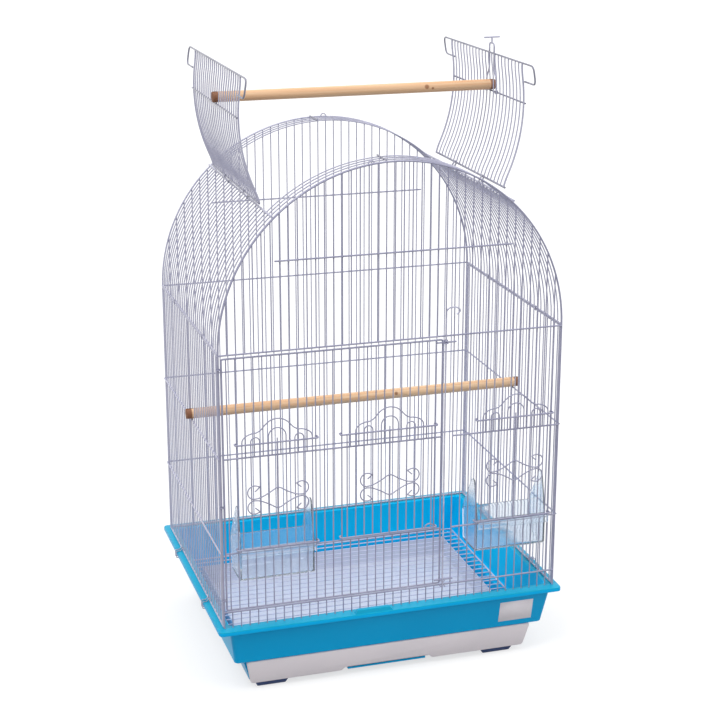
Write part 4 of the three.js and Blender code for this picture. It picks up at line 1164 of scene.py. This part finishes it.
def ringStack(rings, cornerSteps):
    # closed form through every ring, with a face on the first and the last
    mesh = bmesh.new()
    count = 4 * cornerSteps
    made = bmesh.ops.create_circle(mesh, cap_ends=True, segments=count, radius=1)
    half = math.pi / count
    bmesh.ops.rotate(mesh, verts=made["verts"], matrix=Matrix.Rotation(half, 3, "Z"))
    reach = 1 / math.cos(half)
    for vert in mesh.verts:
        vert.co = (vert.co.x * reach * mm, vert.co.y * reach * mm, 0)
    ringMove(mesh.verts, (1, 1, 1), rings[0])
    edges = mesh.edges[:]
    for old, new in zip(rings, rings[1:]):
        grown = bmesh.ops.extrude_edge_only(mesh, edges=edges)["geom"]
        edges = [g for g in grown if isinstance(g, bmesh.types.BMEdge)]
        ringMove(onlyVerts(grown), old, new)
    bmesh.ops.contextual_create(mesh, geom=edges)
    bmesh.ops.recalc_face_normals(mesh, faces=mesh.faces)
    return mesh


def tubTab():
    # low lug on the front of the rim, between the wall and the edge
    t = tub["tab"]
    rim, middle = cage["rimTop"], sum(t["width"]) / 2 * mm
    depth = (t["y"] - t["halfDepth"], t["y"] + t["halfDepth"])
    mesh = blockMesh(t["width"], depth, (rim - t["foot"], rim + t["rise"]))
    for vert in mesh.verts:
        if vert.co.z > rim * mm:
            vert.co.x -= math.copysign(t["slope"] * mm, vert.co.x - middle)
            vert.co.y += t["lean"] * mm if vert.co.y < t["y"] * mm else 0
    edges = [
        e for e in mesh.edges
        if min(v.co.z for v in e.verts) > rim * mm or e.calc_length() < t["shortEdge"] * mm
    ]
    bevelled(mesh, edges, t["edge"])
    return meshPiece("rimTab", mesh)


def makeTub():
    piece = meshPiece("baseTub", ringStack(tub["rings"], tub["cornerSteps"]))
    carve(piece, [blockPiece("slotCut", *tub["slotCut"]), blockPiece("trayCut", *tub["trayCut"])])
    carve(piece, [tubTab()], "UNION")
    shadeByAngle(piece, tub["sharp"])
    settle(piece, tubPlastic, "body", "tub_blue", "base_tub")
    # painted light: the faces inside the basin take the brighter copy of the tub plastic
    piece.data.materials.append(tubInsideLit)
    # painted highlight: the faces on the rim take the copy of the tub plastic with more shine
    piece.data.materials.append(tubRimSheen)
    reach = tub["inside"]
    for face in piece.data.polygons:
        spot = face.center / mm
        inside = abs(spot.x) < reach[0] and abs(spot.y) < reach[1] and spot.z > reach[2]
        face.material_index = 1 if inside else 2 * (spot.z > tub["rimSheenFrom"])


def makeSill():
    # lip of the tub under the tray, which shows through the drawer's finger recess
    settle(blockPiece("tubSill", *tub["sill"], 2), tubPlastic, "body", "tub_blue")


def makeLabel():
    # blank paper label on the front of the basin
    paper = tub["label"]
    size = [paper[word] for word in ("width", "sheet", "height", "edge")]
    sheet = blockPiece("tubLabel", *size, 1)
    for vert in sheet.data.vertices:
        share = (vert.co.z / mm - paper["lowZ"]) / (paper["highZ"] - paper["lowZ"])
        vert.co.y += (paper["lowY"] + (paper["highY"] - paper["lowY"]) * share) * mm
    settle(sheet, labelPaper, "body", "drawer_white")


makeTub()
makeSill()
makeLabel()


# Feet

foot = {
    "length": 50.0, "width": 36.0, "height": 8.7, "slope": 4.0, "edge": 1.5, "sharp": 50,
    "x": {"Left": -178.0, "Right": 170.0}, "y": {"Front": -157.0, "Back": 148.0},
}


def makeFoot(sideWord, endWord):
    half = [foot[word] / 2 for word in ("length", "width", "height")]
    mesh = blockMesh(*[(-h, h) for h in half])
    low = [v for v in mesh.verts if v.co.z < 0]
    narrow = [(h - foot["slope"]) / h for h in half[:2]]
    bmesh.ops.scale(mesh, verts=low, vec=(*narrow, 1))
    moved(mesh, mesh.verts, foot["x"][sideWord], foot["y"][endWord], half[2])
    bevelled(mesh, mesh.edges[:], foot["edge"])
    piece = meshPiece("foot" + endWord + sideWord, mesh)
    shadeByAngle(piece, foot["sharp"])
    node = "foot_{}_{}".format(endWord.lower(), sideWord.lower())
    settle(piece, footRubber, "body", "foot_navy", node)


for sideWord in foot["x"]:
    for endWord in foot["y"]:
        makeFoot(sideWord, endWord)


# Drawer: a tray behind a sloped front

drawer = {
    "low": 9.3,
    "high": 47.5,
    "outline": [
        (-210, 9.3), (-73.1, 9.3), (-70, 14.3), (62, 14.3),
        (65.1, 9.3), (210, 9.3), (218, 47.5), (-218, 47.5),
    ],
    "notchWithin": 75.0,
    "cornerSoftness": 4.0,
    "notchSoftness": 3.0,
    "edge": 1.2,
    "edgeFrom": 60,
    "sharp": 38,
    "frontLow": -178.0,
    "frontHigh": -186.0,
    "thickness": 5.0,
    "tray": (-206.2, 206.2, -174.0, 165.0, 12.3, 45.5),
    "traySoftness": (1.2, 3.0),  # outside and inside
    "clearance": 20.0,  # how far the hollow's cutter stands out at the top
    "wall": 2.0,
}


def makeDrawer():
    d = drawer
    mesh = bmesh.new()
    corners = [mesh.verts.new((x * mm, 0, z * mm)) for x, z in d["outline"]]
    mesh.faces.new(corners)
    farCorners = [v for v in corners if abs(v.co.x) > d["notchWithin"] * mm]
    bevelled(mesh, farCorners, d["cornerSoftness"], 4, "VERTICES")
    notch = [v for v in mesh.verts if abs(v.co.x) < d["notchWithin"] * mm]
    bevelled(mesh, notch, d["notchSoftness"], 3, "VERTICES")
    grown = bmesh.ops.extrude_face_region(mesh, geom=mesh.faces[:])["geom"]
    moved(mesh, onlyVerts(grown), 0, d["thickness"], 0)
    lean = (d["frontHigh"] - d["frontLow"]) / (d["high"] - d["low"])
    for vert in mesh.verts:
        vert.co.y += d["frontLow"] * mm + (vert.co.z - d["low"] * mm) * lean
    bmesh.ops.recalc_face_normals(mesh, faces=mesh.faces)
    sharp = math.radians(d["edgeFrom"])
    rim = [e for e in mesh.edges if len(e.link_faces) == 2 and e.calc_face_angle(0) > sharp]
    bevelled(mesh, rim, d["edge"])
    plate = meshPiece("drawer", mesh)
    left, right, front, rear, low, high = d["tray"]
    wall, (outer, inner) = d["wall"], d["traySoftness"]
    tray = blockPiece("tray", (left, right), (front, rear), (low, high), outer)
    hollow = blockPiece(
        "hollow", (left + wall, right - wall), (front + wall, rear - wall),
        (low + wall, high + d["clearance"]), inner,
    )
    carve(tray, [hollow])
    carve(plate, [tray], "UNION")
    shadeByAngle(plate, d["sharp"])
    settle(plate, drawerPlastic, "tray", "drawer_white", "drawer")
    plate.data.materials.append(trayPlastic)
    for face in plate.data.polygons:
        face.material_index = face.center.y > (front + wall / 2) * mm


makeDrawer()
print("tub, feet and drawer are moulded")


# Floor grille

grille = {"x": 224.0, "y": 176.0, "z": 52.6, "spaces": 23, "bend": 7.0, "lift": 0.2}


def makeGrille():
    x, y, z = grille["x"], grille["y"], grille["z"]
    corners = [(-x, -y, z), (x, -y, z), (x, y, z), (-x, y, z)]
    wires = [(bar, softened(corners, grille["bend"], closed=True), True)]
    for i in range(1, grille["spaces"]):
        place = -y + 2 * y * i / grille["spaces"]
        wires.append(levelX(-x, x, place, z + grille["lift"], fill))
    # painted light: the grille takes the lighter copy of the wire coat
    wireWork("floorGrille", wires, "body", "floor_grille", grilleLitCoat)


makeGrille()


# Clear feeder cups, hung on the level wire with a lip outside and a wing at each side

cup = {
    "span": (2.4, 110.1),  # from the first wire of the opening
    "wall": 2.0,
    "bends": (6.0, 5.0, 1.5),  # of shell, hollow and lip
    "sharp": 40,
    # places in y and z, seen from the side
    "shell": [
        (-188.3, 224.66), (-188.3, 175.2), (-134.3, 175.2), (-130.3, 224.66),
        (-136.3, 235.66), (-166.3, 283.0), (-175.3, 283.0), (-184.3, 242.66),
    ],
    "hollow": [(-186.3, 225.66), (-185.3, 177.2), (-136.3, 177.2), (-132.7, 225.66)],
    "between": ((-190.3, -128.3), (224.66, 292.0)),
    "lip": [
        (-187.6, 224.66), (-200.6, 224.66), (-200.6, 216.66), (-198.6, 213.66),
        (-196.2, 214.66), (-197.4, 218.66), (-197.4, 222.66), (-187.6, 222.66),
    ],
}


def makeCup(name, node, body, leftEdge):
    left, right = [leftEdge + reach for reach in cup["span"]]
    inner = (left + cup["wall"], right - cup["wall"])
    outerBend, innerBend, lipBend = cup["bends"]
    shell = softened(cup["shell"], outerBend, closed=True, steps=6)
    piece = outlinePiece(name, shell, left, right)
    carve(piece, [
        outlinePiece("hollow", softened(cup["hollow"], innerBend, steps=6), *inner),
        blockPiece("between", inner, *cup["between"]),
    ])
    lip = softened(cup["lip"], lipBend, closed=True, steps=3)
    carve(piece, [outlinePiece("lip", lip, left, right)], "UNION")
    shadeByAngle(piece, cup["sharp"])
    settle(piece, cupPlastic, body, "cup_clear", node)


makeCup("feederCupLeft", "feeder_cup_left", "door", doorWire(1))
makeCup("feederCupRight", "feeder_cup_right", "body", wallWire(30))
print("feeder cups are hung")


# Bands that tie roof and side walls, and the wire clips that hold the walls to the rim

clips = {
    "y": 95.0,
    "bandHalf": 2.0,
    "bandSheet": 0.8,
    "bandPlay": 0.9,
    "bailHalf": 3.3,
    "bailSize": 1.4,
    "bailBend": 1.6,
    # places in x and z on the right side
    "bail": [
        (248.2, 112.1), (253.2, 111.9), (254.8, 109.4),
        (261.3, 109.4), (261.3, 98.8), (256.5, 98.9),
    ],
}


def makeClips():
    for side, word in sides:
        x = side * cage["halfWidth"]
        bars = ((x, sideWall["topBar"]), (x, roof["footBar"]))
        for end, place in ends:
            y = end * clips["y"]
            ending = "{}_{}".format(word.lower(), place.lower())
            band = bandPiece(
                "roofTie" + word + place, *bars, post / 2 + clips["bandPlay"],
                y, clips["bandHalf"], clips["bandSheet"],
            )
            settle(band, hardwareZinc, "body", "rod_coat", "roof_tie_" + ending)
            bend = [(side * u, y - clips["bailHalf"], v) for u, v in clips["bail"]]
            bend += [(side * u, y + clips["bailHalf"], v) for u, v in reversed(clips["bail"])]
            line = softened(bend, clips["bailBend"], closed=True)
            bail = wirePiece("baseClip" + word + place, [(clips["bailSize"], line, True)])
            settle(bail, hardwareZinc, "body", "rod_coat", "base_clip_" + ending)


makeClips()
print("clips are on")


# Floor, backdrop light and lamps

studio = {
    "floorSize": 40.0,
    "floorDrop": 0.0004,
    "floorTone": tint(0.60, 0.60, 0.60),
    "floorGlow": 0.68,
    "skyTone": tint(0.99, 0.99, 1.0),
    "surround": (0.42, 1.05),  # at the horizon and straight above
    "lamps": [
        # turn about the cage, height above the floor, strength, softness, all in degrees but
        # the strength
        (-55, 60, 1.3, 24),
        (45, 38, 0.6, 30),
        (165, 58, 0.5, 35),
    ],
}


def addSeen(tree):
    # 1 for what the camera sees, in a reflection or through clear plastic too, 0 for lighting
    path = addNode(tree, "LightPath")
    through = addNode(tree, "Math", operation="MAXIMUM")
    seen = addNode(tree, "Math", operation="MAXIMUM")
    feed(path, "Is Glossy Ray", through, 0)
    feed(path, "Is Transmission Ray", through, 1)
    feed(path, "Is Camera Ray", seen, 0)
    feed(through, "Value", seen, 1)
    return seen


def makeFloor():
    mesh = bmesh.new()
    bmesh.ops.create_circle(mesh, cap_ends=True, segments=96, radius=studio["floorSize"] / 2)
    bmesh.ops.translate(mesh, verts=mesh.verts, vec=(0, 0, -studio["floorDrop"]))
    floor = meshPiece("floor", mesh, smooth=False)
    material, tree, shader = newMaterial("floorPaper")
    setValues(shader, {
        "Base Color": studio["floorTone"], "Roughness": 0.7, specular: 0.2,
        "Emission Color": (1, 1, 1, 1),
    })
    glow = addNode(tree, "Math", {1: studio["floorGlow"]}, operation="MULTIPLY")
    feed(addSeen(tree), "Value", glow, 0)
    feed(glow, "Value", shader, "Emission Strength")
    floor.data.materials.append(material)


def makeWorld():
    world = bpy.data.worlds.new("studioWorld")
    scene.world = world
    world.use_nodes = True
    tree = world.node_tree
    tree.nodes.clear()
    white = addNode(tree, "Background", {"Color": (1, 1, 1, 1), "Strength": 1})
    lit = addNode(tree, "Background", {"Color": studio["skyTone"]})
    place = addNode(tree, "TexCoord")
    axes = addNode(tree, "SeparateXYZ")
    horizon, zenith = studio["surround"]
    lift = addNode(tree, "MapRange", {"To Min": horizon, "To Max": zenith})
    choose = addNode(tree, "MixShader")
    output = addNode(tree, "OutputWorld")
    feed(place, "Generated", axes, "Vector")
    feed(axes, "Z", lift, "Value")
    feed(lift, "Result", lit, "Strength")
    feed(addSeen(tree), "Value", choose, "Fac")
    feed(lit, "Background", choose, 1)
    feed(white, "Background", choose, 2)
    feed(choose, "Shader", output, "Surface")


def makeLamps():
    for turn, height, strength, softness in studio["lamps"]:
        lamp = bpy.data.lights.new("lamp", "SUN")
        lamp.energy = strength
        lamp.angle = math.radians(softness)
        piece = bpy.data.objects.new("lamp", lamp)
        away = towards(math.radians(turn), math.radians(height))
        piece.rotation_euler = away.to_track_quat("Z", "Y").to_euler()
        scene.collection.objects.link(piece)


makeFloor()
makeWorld()
makeLamps()
scene.view_settings.view_transform = "Standard"
print("studio is lit")
